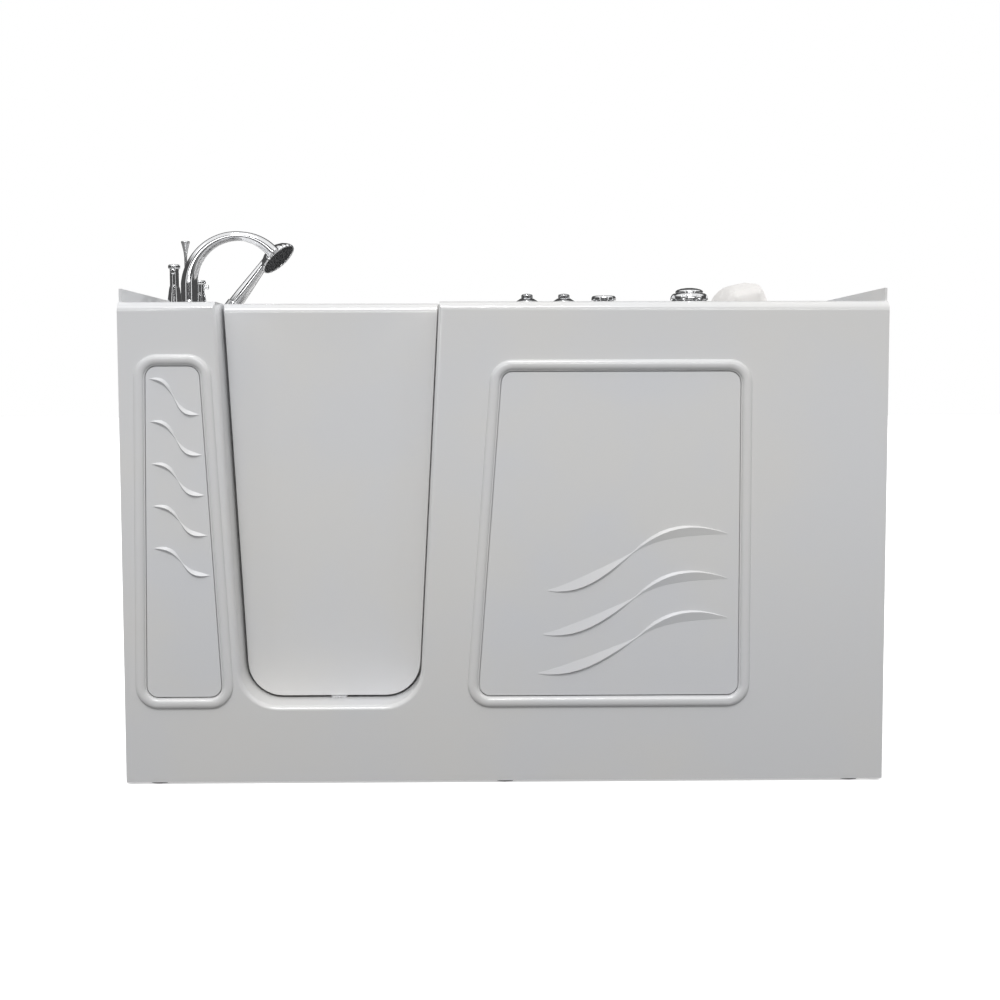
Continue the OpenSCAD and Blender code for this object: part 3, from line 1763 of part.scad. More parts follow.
module overflow_knob() {
  lobes = 6;
  knob_radius = 30;
  color(chrome) translate([basin_left + 4 + rest_gap, drain_y, overflow_z]) rotate([0, 90, 0]) {
    translate([0, 0, -4 - knob_stem_length + rest_gap]) cylinder(r = knob_stem, h = knob_stem_length + 5);
    difference() {
      cylinder(r1 = knob_radius, r2 = knob_radius - 4, h = 20);
      for (i = [0:lobes - 1]) rotate([0, 0, 360 * i / lobes])
        translate([knob_radius + 4, 0, -over]) cylinder(r = 8, h = 18);
    }
  }
}

basin_shell();
front_apron();
sill_bumper();
left_access_panel();
right_access_panel();
panel_sockets();
base_frame();
upper_frame();
floor_bearers();
seat_frame();
leveling_feet();
foot_lock_nuts();
equipment_board();
pump_motor();
pump_wet_end();
air_blower();
control_box();
suction_fitting();
suction_cover();
pump_pipes();
water_manifold();
air_pipes();
air_line();
jet_bodies();
jet_nozzle_1();
jet_nozzle_2();
jet_nozzle_3();
jet_nozzle_4();
jet_nozzle_5();
jet_nozzle_6();
air_jets();
tub_spout();
valve_bases();
hot_handle();
cold_handle();
lift_rod();
tap_valve_body();
shower_cradle();
hand_shower();
spray_face();
control_bezels();
air_knob_left();
air_knob_right();
push_button();
diverter_knob();
deck_valve_bodies();
neck_pillow();
grab_bar();
door_outer_skin();
door_inner_skin();
door_core();
door_seal();
hinge_fixed_leaves();
hinge_moving_leaves();
latch_handle();
latch_keeper();
drain_body();
drain_plug();
overflow_fitting();
overflow_knob();
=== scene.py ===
import json
import math

import bpy
from mathutils import Matrix, Vector
from mathutils.bvhtree import BVHTree


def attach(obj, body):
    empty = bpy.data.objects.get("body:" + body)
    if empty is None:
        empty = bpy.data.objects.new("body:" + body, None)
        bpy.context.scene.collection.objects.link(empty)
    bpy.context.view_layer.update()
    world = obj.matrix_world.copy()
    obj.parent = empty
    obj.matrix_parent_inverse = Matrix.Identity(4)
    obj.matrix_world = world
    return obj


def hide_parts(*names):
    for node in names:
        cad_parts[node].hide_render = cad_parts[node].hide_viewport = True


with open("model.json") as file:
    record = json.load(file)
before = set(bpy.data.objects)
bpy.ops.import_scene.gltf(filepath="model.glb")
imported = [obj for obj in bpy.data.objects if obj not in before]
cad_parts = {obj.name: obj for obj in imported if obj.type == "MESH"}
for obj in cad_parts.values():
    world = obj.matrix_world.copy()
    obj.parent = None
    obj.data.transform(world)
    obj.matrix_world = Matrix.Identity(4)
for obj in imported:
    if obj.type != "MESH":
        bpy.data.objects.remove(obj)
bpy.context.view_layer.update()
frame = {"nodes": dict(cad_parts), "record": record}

mm = 0.001
mergeWidth = 0.01 * mm
record = frame["record"]
slotOf = {part["node"]: part["material_slot"] for part in record["subparts"]}
bodyOf = {node: body for body, nodes in record["behaviour"]["bodies"].items() for node in nodes}
bpy.context.scene.view_settings.view_transform = "Standard"
print("frame loaded:", len(frame["nodes"]), "nodes")


# Small helpers for working as in the viewport
def deselect():
    if bpy.context.object and bpy.context.object.mode != "OBJECT":
        bpy.ops.object.mode_set(mode="OBJECT")
    bpy.ops.object.select_all(action="DESELECT")


def pick(*objects):
    deselect()
    for each in objects:
        each.select_set(True)
    bpy.context.view_layer.objects.active = objects[0]
    return objects[0]


def editAll(piece):
    pick(piece)
    bpy.ops.object.mode_set(mode="EDIT")
    bpy.ops.mesh.select_all(action="SELECT")


def modify(piece, kind, **values):  # adds a modifier and applies it
    pick(piece)
    made = piece.modifiers.new(kind.title(), kind)
    for key, value in values.items():
        setattr(made, key, value)
    bpy.ops.object.modifier_apply(modifier=made.name)
    return piece


def bevelled(piece, width, segments, angle=30):  # width in millimetres, angle in degrees
    return modify(piece, "BEVEL", width=width * mm, segments=segments, limit_method="ANGLE",
                  angle_limit=math.radians(angle))


def smooth(piece, angle):
    pick(piece)
    bpy.ops.object.shade_smooth_by_angle(angle=math.radians(angle))
    return piece


def placed(piece, matrix=None):  # puts a piece where it belongs and leaves its object at the origin
    pick(piece)
    if matrix is not None:
        piece.matrix_world = matrix @ piece.matrix_world
    bpy.ops.object.transform_apply(location=True, rotation=True, scale=True)
    return piece


def at(x, y, z):  # a shift in millimetres
    return Matrix.Translation(Vector((x, y, z)) * mm)


def tilted(degrees, axis):
    return Matrix.Rotation(math.radians(degrees), 4, axis)


def joined(name, *pieces):
    piece = pick(*pieces)
    bpy.ops.object.join()
    piece.name = piece.data.name = name
    return piece


def cut(piece, tool):
    modify(piece, "BOOLEAN", operation="DIFFERENCE", object=tool, solver="EXACT")
    bpy.data.objects.remove(tool)


def copied(node, name, flat=None):  # a CAD node's shape with its triangles merged, and flat ones dissolved
    piece = bpy.data.objects.new(name, frame["nodes"][node].data.copy())
    bpy.context.scene.collection.objects.link(piece)
    editAll(piece)
    bpy.ops.mesh.remove_doubles(threshold=mergeWidth)
    if flat:
        bpy.ops.mesh.dissolve_limited(angle_limit=math.radians(flat))
    bpy.ops.object.mode_set(mode="OBJECT")
    if piece.data.has_custom_normals:
        bpy.ops.mesh.customdata_custom_splitnormals_clear()
    return piece


def fitted(piece, node):  # a finished piece that stands for one CAD node
    slot = slotOf[node]
    piece.data.materials.clear()
    piece.data.materials.append(finishes[slot])
    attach(piece, bodyOf[node])
    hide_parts(node)
    return piece


# Shader maths
class Wire:
    def __init__(self, graph, socket):
        self.graph, self.socket = graph, socket

    def sum(self, operation, first, second):
        return self.graph.node("ShaderNodeMath", {"operation": operation}, {0: first, 1: second})

    def __add__(self, other):
        return self.sum("ADD", self, other)

    def __sub__(self, other):
        return self.sum("SUBTRACT", self, other)

    def __rsub__(self, other):
        return self.sum("SUBTRACT", other, self)

    def __mul__(self, other):
        return self.sum("MULTIPLY", self, other)

    __radd__ = __add__
    __rmul__ = __mul__


class Graph:
    def __init__(self, tree, coordinates="Generated"):
        self.tree = tree
        self.place = self.node("ShaderNodeTexCoord", output=coordinates)

    def node(self, kind, settings=None, sockets=None, output=0):
        made = self.tree.nodes.new(kind)
        for key, value in (settings or {}).items():
            setattr(made, key, value)
        for key, value in (sockets or {}).items():
            if isinstance(value, Wire):
                self.tree.links.new(value.socket, made.inputs[key])
            else:
                made.inputs[key].default_value = value
        return Wire(self, made.outputs[output])

    def ramp(self, value, low, high, first=0, last=1):  # a soft step from first to last
        return self.node("ShaderNodeMapRange", {"interpolation_type": "SMOOTHSTEP"},
                         {"Value": value, "From Min": low, "From Max": high, "To Min": first, "To Max": last})


finishes = {}


class Finish(Graph):
    def __init__(self, name, **fixed):
        finishes[name] = material = bpy.data.materials.new(name)
        material.use_nodes = True
        super().__init__(material.node_tree, "Object")
        self.shader = self.tree.nodes["Principled BSDF"]
        for key, value in fixed.items():
            self.shader.inputs[key.replace("_", " ")].default_value = value

    def noise(self, scale, detail=2, roughness=0.5, place=None):
        return self.node(
            "ShaderNodeTexNoise", None,
            {"Vector": place or self.place, "Scale": scale, "Detail": detail, "Roughness": roughness}, "Fac")

    def cells(self, feature, scale, output="Distance", **sockets):
        return self.node("ShaderNodeTexVoronoi", {"feature": feature},
                         {"Vector": self.place, "Scale": scale, **sockets}, output)

    def mapped(self, **sockets):  # the object's coordinates, turned or drawn out
        return self.node("ShaderNodeMapping", {"vector_type": "POINT"},
                         {"Vector": self.place, **sockets}, "Vector")

    def mix(self, share, low, high):  # of two colours, or of two wires that carry one
        low, high = (each if isinstance(each, Wire) else (*each, 1) for each in (low, high))
        return self.node("ShaderNodeMix", {"data_type": "RGBA"}, {"Factor": share, 6: low, 7: high}, 2)

    def bump(self, height, distance, strength):
        made = self.node("ShaderNodeBump", None,
                         {"Height": height, "Distance": distance, "Strength": strength}, "Normal")
        self.tree.links.new(made.socket, self.shader.inputs["Normal"])

    def feed(self, **sockets):
        for key, value in sockets.items():
            self.tree.links.new(value.socket, self.shader.inputs[key.replace("_", " ")])


# Gelcoat: glossy acrylic in front, bare glass-fibre laminate on the hidden side
gel = {
    "coat": 0.5, "coatRough": 0.08, "index": 1.49, "cloudScale": 2.6, "cloudEdge": (0.35, 0.65),
    "hazeScale": 9, "haze": 0.05, "peelScale": 420, "peelDepth": 0.012, "relief": 0.9 * mm,
    "reliefShare": 0.8, "strandTurns": (0.3, 1.4, 2.5), "strandSkew": 0.7, "strandDraw": 0.05,
    "strandScale": 420, "strandEdge": (0.5, 0.7), "strandShare": 0.3, "mottleScale": 6, "mottleShare": 0.3,
    "matLow": (0.56, 0.55, 0.5), "matHigh": (0.71, 0.705, 0.665), "matRough": 0.3,
}


def gelcoat(name, low, high, sheen):
    made = Finish(name, Coat_Roughness=gel["coatRough"], IOR=gel["index"])
    hidden = made.node("ShaderNodeAttribute", {"attribute_name": "laminate"}, None, "Fac")
    strands = made.noise(gel["mottleScale"], 3) * gel["mottleShare"]
    for turn in gel["strandTurns"]:  # chopped strands lie every way
        laid = made.mapped(Rotation=(turn, turn * gel["strandSkew"], turn))
        drawn = made.mapped(Vector=laid, Scale=(1, gel["strandDraw"], 1))
        threads = made.noise(gel["strandScale"], 1, 0.4, drawn)
        strands = strands + made.ramp(threads, *gel["strandEdge"], 0, gel["strandShare"])
    cloud = made.mix(made.ramp(made.noise(gel["cloudScale"], 3, 0.55), *gel["cloudEdge"]), low, high)
    mat = made.mix(strands, gel["matLow"], gel["matHigh"])
    made.feed(Base_Color=made.mix(hidden, cloud, mat), Coat_Weight=(1 - hidden) * gel["coat"],
              Roughness=made.noise(gel["hazeScale"], 4) * gel["haze"] + sheen + hidden * gel["matRough"])
    peel = made.noise(gel["peelScale"], 1.5, 0.4) * (1 - hidden) * gel["peelDepth"]
    made.bump(peel + strands * hidden, gel["relief"], gel["reliefShare"])


# The other finishes, with scales per metre and depths in millimetres
def chromed(name, colour, rough, wipeScale=60, wiped=0.05, shade=0.96, rippleScale=25, rippleDepth=0.02):
    made = Finish(name, Metallic=1)
    wipes = made.noise(wipeScale, 3, 0.6, made.mapped(Scale=(1, 1, 0.2)))
    made.feed(Base_Color=made.mix(made.noise(30, 2), tuple(part * shade for part in colour), colour),
              Roughness=made.ramp(wipes, 0.45, 0.8, rough, rough + wiped))
    made.bump(made.noise(rippleScale, 2), rippleDepth * mm, 0.25)


def galvanised(name, low, high, spangleScale=130, dullScale=7, grainScale=300, grainDepth=0.06):
    made = Finish(name, Metallic=0.85)
    spangle = made.cells("F1", spangleScale, "Color")
    flake = made.node("ShaderNodeSeparateColor", None, {"Color": spangle}, "Red")
    dull = made.noise(dullScale, 4, 0.6)
    made.feed(Base_Color=made.mix(flake * 0.7 + dull * 0.4, low, high), Roughness=flake * 0.2 + 0.34)
    made.bump(made.noise(grainScale, 3, 0.6), grainDepth * mm, 0.4)


def plastic(name, low, high, rough, grainScale, grainDepth, tintScale=12, rubScale=40):
    made = Finish(name, IOR=1.5)
    made.feed(Base_Color=made.mix(made.noise(tintScale, 4, 0.6), low, high),
              Roughness=made.ramp(made.noise(rubScale, 3), 0.3, 0.7, rough - 0.05, rough + 0.07))
    made.bump(made.noise(grainScale, 2, 0.6), grainDepth * mm, 0.6)


def hammered(name, low, high, dentScale=320, dentDepth=0.25, tintScale=20):  # baked paint over a casting
    made = Finish(name, Coat_Weight=0.3, Coat_Roughness=0.2)
    dents = made.cells("SMOOTH_F1", dentScale, Smoothness=0.8)
    made.feed(Base_Color=made.mix(made.noise(tintScale, 4), low, high),
              Roughness=made.ramp(dents, 0, 0.6, 0.3, 0.45))
    made.bump(dents, dentDepth * mm, 0.5)


def cast(name, low, high, poreScale=260, poreDepth=0.25, stainScale=14):  # sand-cast, with darker hollows
    made = Finish(name, Metallic=1)
    pores = made.noise(poreScale, 4, 0.7)
    stain = made.noise(stainScale, 5, 0.6)
    made.feed(Base_Color=made.mix(made.ramp(pores * 0.5 + stain * 0.5, 0.35, 0.65), low, high),
              Roughness=made.ramp(stain, 0.3, 0.7, 0.32, 0.5))
    made.bump(pores, poreDepth * mm, 0.6)


def millFinish(name, low, high, lineScale=500, lineDraw=0.01, lineDepth=0.05):  # lines along the bars
    made = Finish(name, Metallic=1)
    lines = made.noise(lineScale, 3, 0.7, made.mapped(Scale=(1, 1, lineDraw)))
    made.feed(Base_Color=made.mix(lines, low, high), Roughness=lines * 0.2 + 0.25)
    made.bump(lines, lineDepth * mm, 0.5)


def vinyl(name, low, high, leatherScale=750, leatherDepth=0.12, tintScale=16, rubScale=50):
    made = Finish(name, Sheen_Weight=0.15, Sheen_Roughness=0.5, IOR=1.45)
    leather = made.ramp(made.cells("DISTANCE_TO_EDGE", leatherScale), 0, 0.25)
    made.feed(Base_Color=made.mix(made.noise(tintScale, 4, 0.6) * 0.7 + leather * 0.3, low, high),
              Roughness=made.ramp(made.noise(rubScale, 3), 0.3, 0.7, 0.46, 0.6))
    made.bump(leather, leatherDepth * mm, 0.5)


gelcoat("moulding", (0.76, 0.755, 0.745), (0.742, 0.747, 0.76), 0.3)
gelcoat("panel", (0.758, 0.755, 0.748), (0.736, 0.745, 0.768), 0.34)
chromed("chrome", (0.86, 0.865, 0.875), 0.06)
galvanised("zinc_steel", (0.4, 0.42, 0.44), (0.66, 0.68, 0.7))
plastic("dark_plastic", (0.025, 0.026, 0.028), (0.045, 0.047, 0.05), 0.42, 900, 0.05)
plastic("light_plastic", (0.62, 0.63, 0.64), (0.68, 0.69, 0.7), 0.42, 1100, 0.05)
plastic("pipe_plastic", (0.7, 0.7, 0.69), (0.78, 0.78, 0.77), 0.32, 500, 0.02)
plastic("board", (0.035, 0.033, 0.03), (0.06, 0.056, 0.052), 0.6, 700, 0.1)
hammered("motor_paint", (0.05, 0.065, 0.085), (0.075, 0.09, 0.115))
cast("brass", (0.42, 0.3, 0.12), (0.78, 0.62, 0.32))
millFinish("aluminium", (0.55, 0.56, 0.57), (0.75, 0.76, 0.77))
plastic("rubber", (0.02, 0.02, 0.021), (0.035, 0.035, 0.036), 0.7, 800, 0.08)
vinyl("pillow_cover", (0.76, 0.74, 0.72), (0.82, 0.805, 0.79))
for name, node in frame["nodes"].items():
    for place in node.material_slots:
        place.material = finishes[slotOf[name]]
print("finishes made:", len(finishes))


# Mouldings and bright fittings: the CAD shapes with their sharp edges eased, as (width in mm, segments)
easing = {
    "front_apron": (1.6, 3), "basin_shell": (2.2, 3), "door_outer_skin": (3, 4), "door_inner_skin": (2.5, 3),
    "left_access_panel": (1.2, 3), "right_access_panel": (1.2, 3),
    "valve_bases": (0.6, 2), "hot_handle": (0.3, 2), "cold_handle": (0.3, 2),
    "lift_rod": (0.3, 2), "shower_cradle": (0.6, 2), "control_bezels": (0.5, 2), "air_knob_left": (0.3, 2),
    "air_knob_right": (0.3, 2), "push_button": (0.3, 2), "diverter_knob": (0.3, 2), "sill_bumper": (0.4, 2),
    "grab_bar": (0.6, 2), "latch_handle": (0.8, 2), "latch_keeper": (0.4, 2), "overflow_fitting": (0.5, 2),
    "overflow_knob": (0.4, 2), "drain_body": (0.4, 2), "drain_plug": (0.4, 2), "suction_cover": (0.4, 2),
}
easingAngles = {"sharp": 38, "smooth": 32, "flat": 0.6, "flatBright": 0.05}  # degrees
laminated = {
    "pieces": ("front_apron", "basin_shell", "left_access_panel", "right_access_panel"),
    "backward": 0.3,  # a sheet's face is hidden when its normal's y is above this
    "clear": 12,  # mm off the basin's face, from where the roof is looked for
    "spots": ((1, 1, 1), (4, 1, 1), (1, 4, 1), (1, 1, 4)),
}


def eased(node, width, segments):
    flat = easingAngles["flatBright" if slotOf[node] == "chrome" else "flat"]
    piece = copied(node, node + "_eased", flat)
    bevelled(piece, width, segments, easingAngles["sharp"])
    smooth(piece, easingAngles["smooth"])
    modify(piece, "WEIGHTED_NORMAL", keep_sharp=True, weight=90)
    return fitted(piece, node)


def roofedArea(piece, values):  # how much of each face has the moulding itself above it
    roof = BVHTree.FromObject(piece, bpy.context.evaluated_depsgraph_get())
    roofed = [0.0] * len(piece.data.polygons)
    piece.data.calc_loop_triangles()
    for part in piece.data.loop_triangles:
        corners = [piece.data.vertices[index].co for index in part.vertices]
        for weights in values["spots"]:
            spot = sum((corner * weight for corner, weight in zip(corners, weights)), Vector())
            spot = spot / sum(weights) + part.normal * values["clear"] * mm
            if roof.ray_cast(spot, Vector((0, 0, 1)))[0] is not None:
                roofed[part.polygon_index] += part.area / len(values["spots"])
    return roofed


def markLaminate(piece, node, values):  # the basin hides what it roofs over, a front sheet its back
    layer = piece.data.attributes.new("laminate", "FLOAT", "FACE")
    roofed = roofedArea(piece, values) if node == "basin_shell" else None
    for face in piece.data.polygons:
        hidden = roofed[face.index] > face.area / 2 if roofed else face.normal.y > values["backward"]
        layer.data[face.index].value = 1.0 if hidden else 0.0


for node, (width, segments) in easing.items():
    piece = eased(node, width, segments)
    if node in laminated["pieces"]:
        markLaminate(piece, node, laminated)
    print("eased", node, len(piece.data.polygons), "faces")


def turned(name, rings, sides):  # rings of (height, radius) in millimetres, drawn up one from the next
    deselect()
    height, radius = rings[0]
    bpy.ops.mesh.primitive_circle_add(vertices=sides, radius=radius * mm, location=(0, 0, height * mm),
                                      fill_type="NGON")
    piece = placed(bpy.context.object)
    piece.name = name
    editAll(piece)
    for nextHeight, nextRadius in rings[1:]:
        bpy.ops.mesh.extrude_region_move(TRANSFORM_OT_translate={"value": (0, 0, (nextHeight - height) * mm)})
        growth = nextRadius / radius
        bpy.ops.transform.resize(value=(growth, growth, 1), center_override=(0, 0, nextHeight * mm))
        height, radius = nextHeight, nextRadius
    bpy.ops.mesh.select_all(action="SELECT")
    bpy.ops.mesh.normals_make_consistent(inside=False)
    bpy.ops.object.mode_set(mode="OBJECT")
    return piece


# Hand shower: a turned grip run into a round head, with a notched rim and a nubbed spray plate
handset = {
    "foot": (-652, 285, 965), "lean": 37, "turn": 13, "faceTilt": 100.6,  # degrees
    "reach": 182, "offset": 18.6, "sides": 96, "notches": 24, "notchDepth": 2.4, "notchFrom": 44.5,
    "grip": [(12.5, 14.2), (13.3, 15.0), (34.25, 15.0), (34.3, 15.7), (35.2, 16.3), (38, 16.5), (60, 15.7),
             (90, 14.0), (120, 12.1), (145, 10.7), (160, 10.2), (170, 10.4), (178, 10.8), (184, 10.0),
             (188, 7.5), (190, 3.5)],
    "head": [(-27.2, 2), (-26.9, 8), (-25.2, 17), (-21.5, 26), (-15.5, 35), (-8.5, 41.5), (-2.5, 45.2),
             (1.2, 46.4), (4, 46.2), (5, 45.2), (5, 43.6), (4.2, 42.8), (0.5, 42.6)],
    "plate": [(-1, 42.4), (2.2, 42.4), (3, 41.6), (3.4, 30), (3.5, 4)],
    "nubRings": [(1, 0), (8, 13), (14, 25), (20, 36)], "nub": [(2.6, 1.7), (5.0, 1.5), (5.8, 0.9)],
    "nubSides": 10, "smooth": 50,
}


def makeHandset(values):
    grip = turned("hand_shower_grip", values["grip"], values["sides"] // 2)
    head = turned("hand_shower_head", values["head"], values["sides"])
    step = values["sides"] // values["notches"]
    for vertex in head.data.vertices:
        turn = math.atan2(vertex.co.y, vertex.co.x) / (2 * math.pi) * values["sides"]
        reach = math.hypot(vertex.co.x, vertex.co.y)
        if reach > values["notchFrom"] * mm and round(turn) % step == 0:
            share = 1 - values["notchDepth"] * mm / reach
            vertex.co.x, vertex.co.y = vertex.co.x * share, vertex.co.y * share
    plate = turned("spray_plate", values["plate"], values["sides"] // 2)
    nubs = []
    for count, radius in values["nubRings"]:
        for index in range(count):
            angle = 2 * math.pi * index / count
            nub = turned("spray_nub", values["nub"], values["nubSides"])
            nubs.append(placed(nub, at(radius * math.cos(angle), radius * math.sin(angle), 0)))
    plate = joined("spray_plate", plate, *nubs)
    stand = at(*values["foot"]) @ tilted(values["lean"], "Y")
    neck = stand @ tilted(-values["turn"], "Z") @ at(values["offset"], 0, values["reach"])
    neck = neck @ tilted(values["faceTilt"], "Y")
    placed(grip, stand)
    placed(head, neck)
    placed(plate, neck)
    modify(head, "BOOLEAN", operation="UNION", object=grip, solver="EXACT")
    bpy.data.objects.remove(grip)
    head.name = head.data.name = "hand_shower_body"
    fitted(smooth(head, values["smooth"]), "hand_shower")
    fitted(smooth(plate, values["smooth"]), "spray_face")


makeHandset(handset)
print("hand shower made")


# Gooseneck spout: a foot drawn up into a tube that slims over its crown and swells at the mouth
spout = {
    "place": (-686.5, -5, 965), "sides": 64, "steps": 54,
    "foot": [(0, 27), (3.6, 27), (4.7, 26.6), (5, 25.8), (5.4, 23.2), (8, 21.6), (12, 19.8), (16, 18.8),
             (22, 18.4), (57, 18.3)],
    "bend": 112.5, "reach": 99, "turn": 135, "crown": 95,  # the arm shortens from bend to reach over the turn
    "tube": 18.3, "waist": 10.2, "slimming": 1.5, "mouth": 14, "lip": 6, "bore": 11.5, "depth": 5.4,
    "edge": 0.5, "sharp": 50, "smooth": 40,
}


def selectTop(piece):  # the highest ring, with the face that closes it
    points = piece.data.vertices
    top = max(point.co.z for point in points) - mergeWidth
    for point in points:
        point.select = point.co.z > top
    for part in (*piece.data.edges, *piece.data.polygons):
        part.select = all(points[index].select for index in part.vertices)


def spoutMiddle(turn, values):
    arm = values["bend"] + (values["reach"] - values["bend"]) * turn / values["turn"]
    angle = math.radians(turn)
    x, y, z = values["place"]
    crown = z + values["foot"][-1][0]
    return Vector((x + values["bend"] - arm * math.cos(angle), y, crown + arm * math.sin(angle))) * mm


def spoutRadius(turn, values):
    slim = max(1 - turn / values["crown"], 0) ** values["slimming"]
    swell = max((turn - values["crown"]) / (values["turn"] - values["crown"]), 0)
    waist = values["waist"]
    return waist + (values["tube"] - waist) * slim + (values["mouth"] - waist) * swell


def drawOut(shift):
    bpy.ops.mesh.extrude_region_move(TRANSFORM_OT_translate={"value": shift})


def resize(growth, centre):
    bpy.ops.transform.resize(value=(growth, growth, growth), center_override=centre)


def makeSpout(values):
    piece = placed(turned("spout", values["foot"], values["sides"]), at(*values["place"]))
    selectTop(piece)
    bpy.ops.object.mode_set(mode="EDIT")
    last, centre = 0, spoutMiddle(0, values)
    for index in range(1, values["steps"] + 1):
        turn = values["turn"] * index / values["steps"]
        nextCentre = spoutMiddle(turn, values)
        drawOut(nextCentre - centre)
        bpy.ops.transform.rotate(value=-math.radians(turn - last), orient_axis="Y", center_override=nextCentre)
        resize(spoutRadius(turn, values) / spoutRadius(last, values), nextCentre)
        last, centre = turn, nextCentre
    ahead = Vector((math.sin(math.radians(last)), 0, math.cos(math.radians(last)))) * mm
    drawOut(ahead * values["lip"])
    drawOut((0, 0, 0))
    resize(values["bore"] / values["mouth"], centre + ahead * values["lip"])
    drawOut(-ahead * values["depth"])
    bpy.ops.mesh.select_all(action="SELECT")
    bpy.ops.mesh.normals_make_consistent(inside=False)
    bpy.ops.object.mode_set(mode="OBJECT")
    bevelled(piece, values["edge"], 2, values["sharp"])
    fitted(smooth(piece, values["smooth"]), "tub_spout")


makeSpout(spout)
print("spout made")


# Control box: a moulded case with a screwed lid, a vented side and cable glands
case = {
    "low": (550, 130, 56), "high": (720, 220, 267.5), "edge": 4,
    "lidLow": (548, 128, 267.5), "lidHigh": (722, 222, 274), "lidEdge": 2, "screwInset": 11,
    "well": [(272.4, 4.6), (275, 5.2)], "wellSides": 24,
    "vents": 7, "ventPitch": 9, "ventFoot": 170, "ventWidth": 96, "ventHeight": 3.6, "ventDepth": 2.2,
    "ventEdge": 1.2, "glands": 3, "glandPitch": 26, "glandHeight": 84, "glandSides": 12,
    "gland": [(-2, 9.5), (1.5, 9.5), (2, 8.4), (11, 8.2), (12.5, 6.2), (15, 5.6)], "smooth": 35,
}


def block(name, low, high):  # corners in millimetres
    deselect()
    bpy.ops.mesh.primitive_cube_add(size=1, location=[(a + b) / 2 * mm for a, b in zip(low, high)])
    piece = bpy.context.object
    piece.name = name
    piece.scale = [(b - a) * mm for a, b in zip(low, high)]
    return placed(piece)


def makeControlBox(values):
    (left, front, _), (right, back, _) = values["low"], values["high"]
    body = bevelled(block("control_case", values["low"], values["high"]), values["edge"], 4)
    middle, half = (left + right) / 2, values["ventWidth"] / 2
    for index in range(values["vents"]):
        foot = values["ventFoot"] + index * values["ventPitch"]
        slot = block("vent_cutter", (middle - half, back - values["ventDepth"], foot),
                     (middle + half, back + 5, foot + values["ventHeight"]))
        cut(body, bevelled(slot, values["ventEdge"], 2))
    lid = bevelled(block("control_lid", values["lidLow"], values["lidHigh"]), values["lidEdge"], 3)
    inset = values["screwInset"]
    for x in (values["lidLow"][0] + inset, values["lidHigh"][0] - inset):
        for y in (values["lidLow"][1] + inset, values["lidHigh"][1] - inset):
            cut(lid, placed(turned("screw_well", values["well"], values["wellSides"]), at(x, y, 0)))
    glands = []
    for index in range(values["glands"]):
        gland = turned("cable_gland", values["gland"], values["glandSides"])
        depth = (front + back) / 2 + (index - 1) * values["glandPitch"]
        glands.append(placed(gland, at(left, depth, values["glandHeight"]) @ tilted(-90, "Y")))
    piece = joined("control_case", body, lid, *glands)
    fitted(smooth(piece, values["smooth"]), "control_box")


makeControlBox(case)
print("control box made")


# Neck pillow: a stuffed cover, drawn in at its ends, flat where it leans on the backrest
pillow = {
    "shrink": 0.6, "voxel": 4.5, "most": 3, "seamAt": (-96, 152), "seamDepth": 1.4, "seamWidth": 3.2,  # mm
    "pressure": 4, "frames": 20, "quality": 6, "mass": 0.3, "stretch": 12, "bending": 0.6, "fill": 0.85,
}


def stuff(piece, values):  # lets the cover swell
    made = piece.modifiers.new("Stuffing", "CLOTH")
    cloth = made.settings
    cloth.quality, cloth.mass = values["quality"], values["mass"]
    cloth.tension_stiffness = cloth.compression_stiffness = values["stretch"]
    cloth.bending_stiffness = values["bending"]
    cloth.use_pressure, cloth.uniform_pressure_force = True, values["pressure"]
    cloth.effector_weights.gravity = 0
    for moment in range(1, values["frames"] + 1):
        bpy.context.scene.frame_set(moment)
    pick(piece)
    bpy.ops.object.modifier_apply(modifier=made.name)
    bpy.context.scene.frame_set(1)


def makePillow(values):
    piece = modify(copied("neck_pillow", "neck_pillow_cover"), "REMESH", mode="VOXEL",
                   voxel_size=values["voxel"] * mm)
    editAll(piece)
    bpy.ops.transform.shrink_fatten(value=-values["shrink"] * mm)
    bpy.ops.object.mode_set(mode="OBJECT")
    start = [vertex.co.copy() for vertex in piece.data.vertices]
    stuff(piece, values)
    most = values["most"] * mm
    for vertex, begin in zip(piece.data.vertices, start):
        shift = vertex.co - begin
        if shift.length > most:
            shift *= most / shift.length
        vertex.co = begin + shift
    for vertex in piece.data.vertices:  # the end seams pull the cover in
        for seam in values["seamAt"]:
            away = abs(vertex.co.y / mm - seam) / values["seamWidth"]
            if away < 1:
                vertex.co -= vertex.normal * values["seamDepth"] * mm * (1 - away * away)
    modify(piece, "SUBSURF", levels=1, render_levels=1)
    fitted(smooth(piece, 180), "neck_pillow")
    print("pillow made,", len(piece.data.polygons), "faces")


makePillow(pillow)


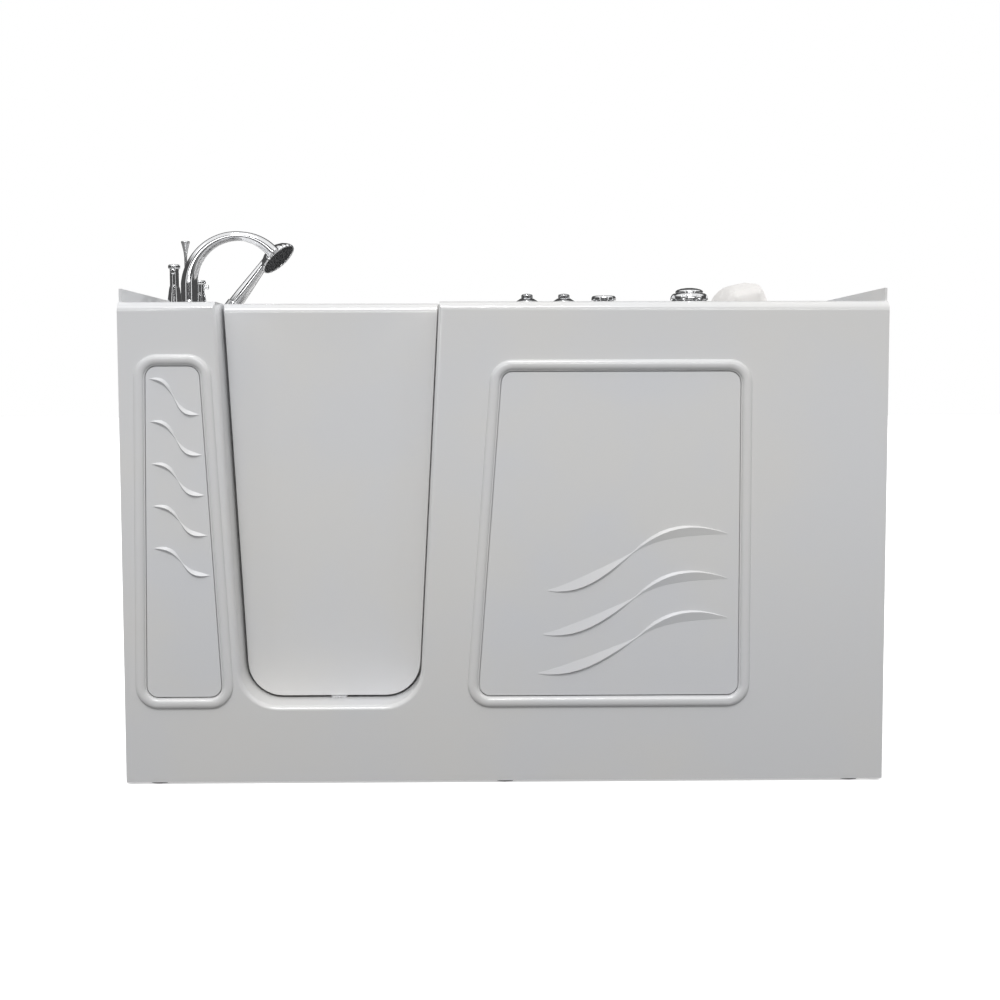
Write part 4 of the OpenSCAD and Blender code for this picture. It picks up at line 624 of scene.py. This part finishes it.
# Camera, light and floor
studio = {
    "cameraPlace": (-54.904, -3456.0, 811.02),  # mm, from the tub's outline in the photograph
    "turn": -0.01463, "tilt": 0.07756, "roll": -0.00218, "lens": 55.92, "sensor": 36, "sight": 200,
    "suns": [  # direction, strength, angle, seen in reflections
        ((-0.05, -0.57, 0.82), 1.12, 16, True), ((-0.8, 0.5, 0.34), 1.4, 50, False),
        ((0.8, 0.5, 0.34), 1.8, 50, False)],
    "keySize": (3.6, 0.3), "keyPlace": (-0.1, -2.2, 1.5), "keyAim": (-0.1, -0.38, 0.72),
    "keyPower": 2.6, "keySpread": 56,
    "ground": 0.24, "horizon": 0.08, "horizonEdge": (-0.15, 0.05),
    "ceiling": 0.88, "ceilingRise": (0.45, 0.62), "ceilingBack": (0.25, 0.55),
    "strip": 1.5, "stripAt": 0.62, "stripWidth": 0.07, "stripBack": (-0.3, -0.2), "stripFoot": (-0.02, 0.05),
    "floorSize": 60, "paperGlow": 0.45, "paperLow": (0.94, 0.94, 0.94), "paperHigh": (0.96, 0.96, 0.96),
}
white = (1, 1, 1, 1)


def makeCamera(values):
    deselect()
    bpy.ops.object.camera_add()
    camera = bpy.context.object
    camera.data.lens, camera.data.sensor_width = values["lens"], values["sensor"]
    camera.data.clip_end = values["sight"]
    camera.matrix_world = (
        at(*values["cameraPlace"])
        @ Matrix.Rotation(values["turn"], 4, "Z")
        @ Matrix.Rotation(math.pi / 2 - values["tilt"], 4, "X")
        @ Matrix.Rotation(values["roll"], 4, "Z"))
    bpy.context.scene.camera = camera


def makeLights(values):
    for direction, power, angle, seen in values["suns"]:
        bpy.ops.object.light_add(type="SUN")
        sun = bpy.context.object
        sun.data.energy, sun.data.angle = power, math.radians(angle)
        sun.visible_glossy = seen
        sun.rotation_euler = Vector(direction).to_track_quat("Z", "Y").to_euler()
    bpy.ops.object.light_add(type="AREA", location=values["keyPlace"])
    key = bpy.context.object
    key.data.shape, key.data.energy = "RECTANGLE", values["keyPower"]
    key.data.size, key.data.size_y = values["keySize"]
    key.data.spread = math.radians(values["keySpread"])
    key.visible_camera = False
    key.rotation_euler = (Vector(values["keyAim"]) - key.location).to_track_quat("-Z", "Y").to_euler()


def makeRoom(values):  # white behind the object, and a dim room with a bright ceiling in its reflections
    world = bpy.data.worlds.new("studio")
    bpy.context.scene.world = world
    world.use_nodes = True
    sky = Graph(world.node_tree)
    across, along, up = (sky.node("ShaderNodeSeparateXYZ", None, {"Vector": sky.place}, axis) for axis in "XYZ")
    ground = sky.ramp(up, *values["horizonEdge"], values["ground"], values["horizon"])
    ceiling = sky.ramp(up, *values["ceilingRise"], 0, values["ceiling"])
    ceiling = ceiling * sky.ramp(along, *values["ceilingBack"], 1, 0)
    aside = sky.node("ShaderNodeMath", {"operation": "ABSOLUTE"}, {0: across})
    spot, width = values["stripAt"], values["stripWidth"]  # two bright strips stand before the tub
    strips = sky.ramp(aside, spot - width, spot, 0, values["strip"])
    strips = strips * sky.ramp(aside, spot, spot + width, 1, 0)
    strips = strips * sky.ramp(along, *values["stripBack"], 1, 0) * sky.ramp(up, *values["stripFoot"])
    dome = sky.node("ShaderNodeBackground", None, {"Color": white, "Strength": ceiling + strips + ground})
    blank = sky.node("ShaderNodeBackground", None, {"Color": white, "Strength": 1.0})
    seen = sky.node("ShaderNodeLightPath", None, None, "Is Camera Ray")
    blend = sky.node("ShaderNodeMixShader", None, {0: seen, 1: dome, 2: blank})
    sky.tree.links.new(blend.socket, world.node_tree.nodes["World Output"].inputs["Surface"])


def makeFloor(values):
    bpy.ops.mesh.primitive_plane_add(size=values["floorSize"], location=(0, 0, 0))
    floor = bpy.context.object
    floor.name = "floor"
    paper = Finish("paper", Emission_Color=white, Emission_Strength=values["paperGlow"])
    paper.feed(Base_Color=paper.mix(paper.noise(0.8, 2), values["paperLow"], values["paperHigh"]),
               Roughness=paper.noise(5, 2) * 0.1 + 0.75)
    floor.data.materials.append(finishes["paper"])
    floor.visible_diffuse = floor.visible_glossy = floor.visible_shadow = False  # the room lights from below


makeCamera(studio)
makeLights(studio)
makeRoom(studio)
makeFloor(studio)
print("studio ready")
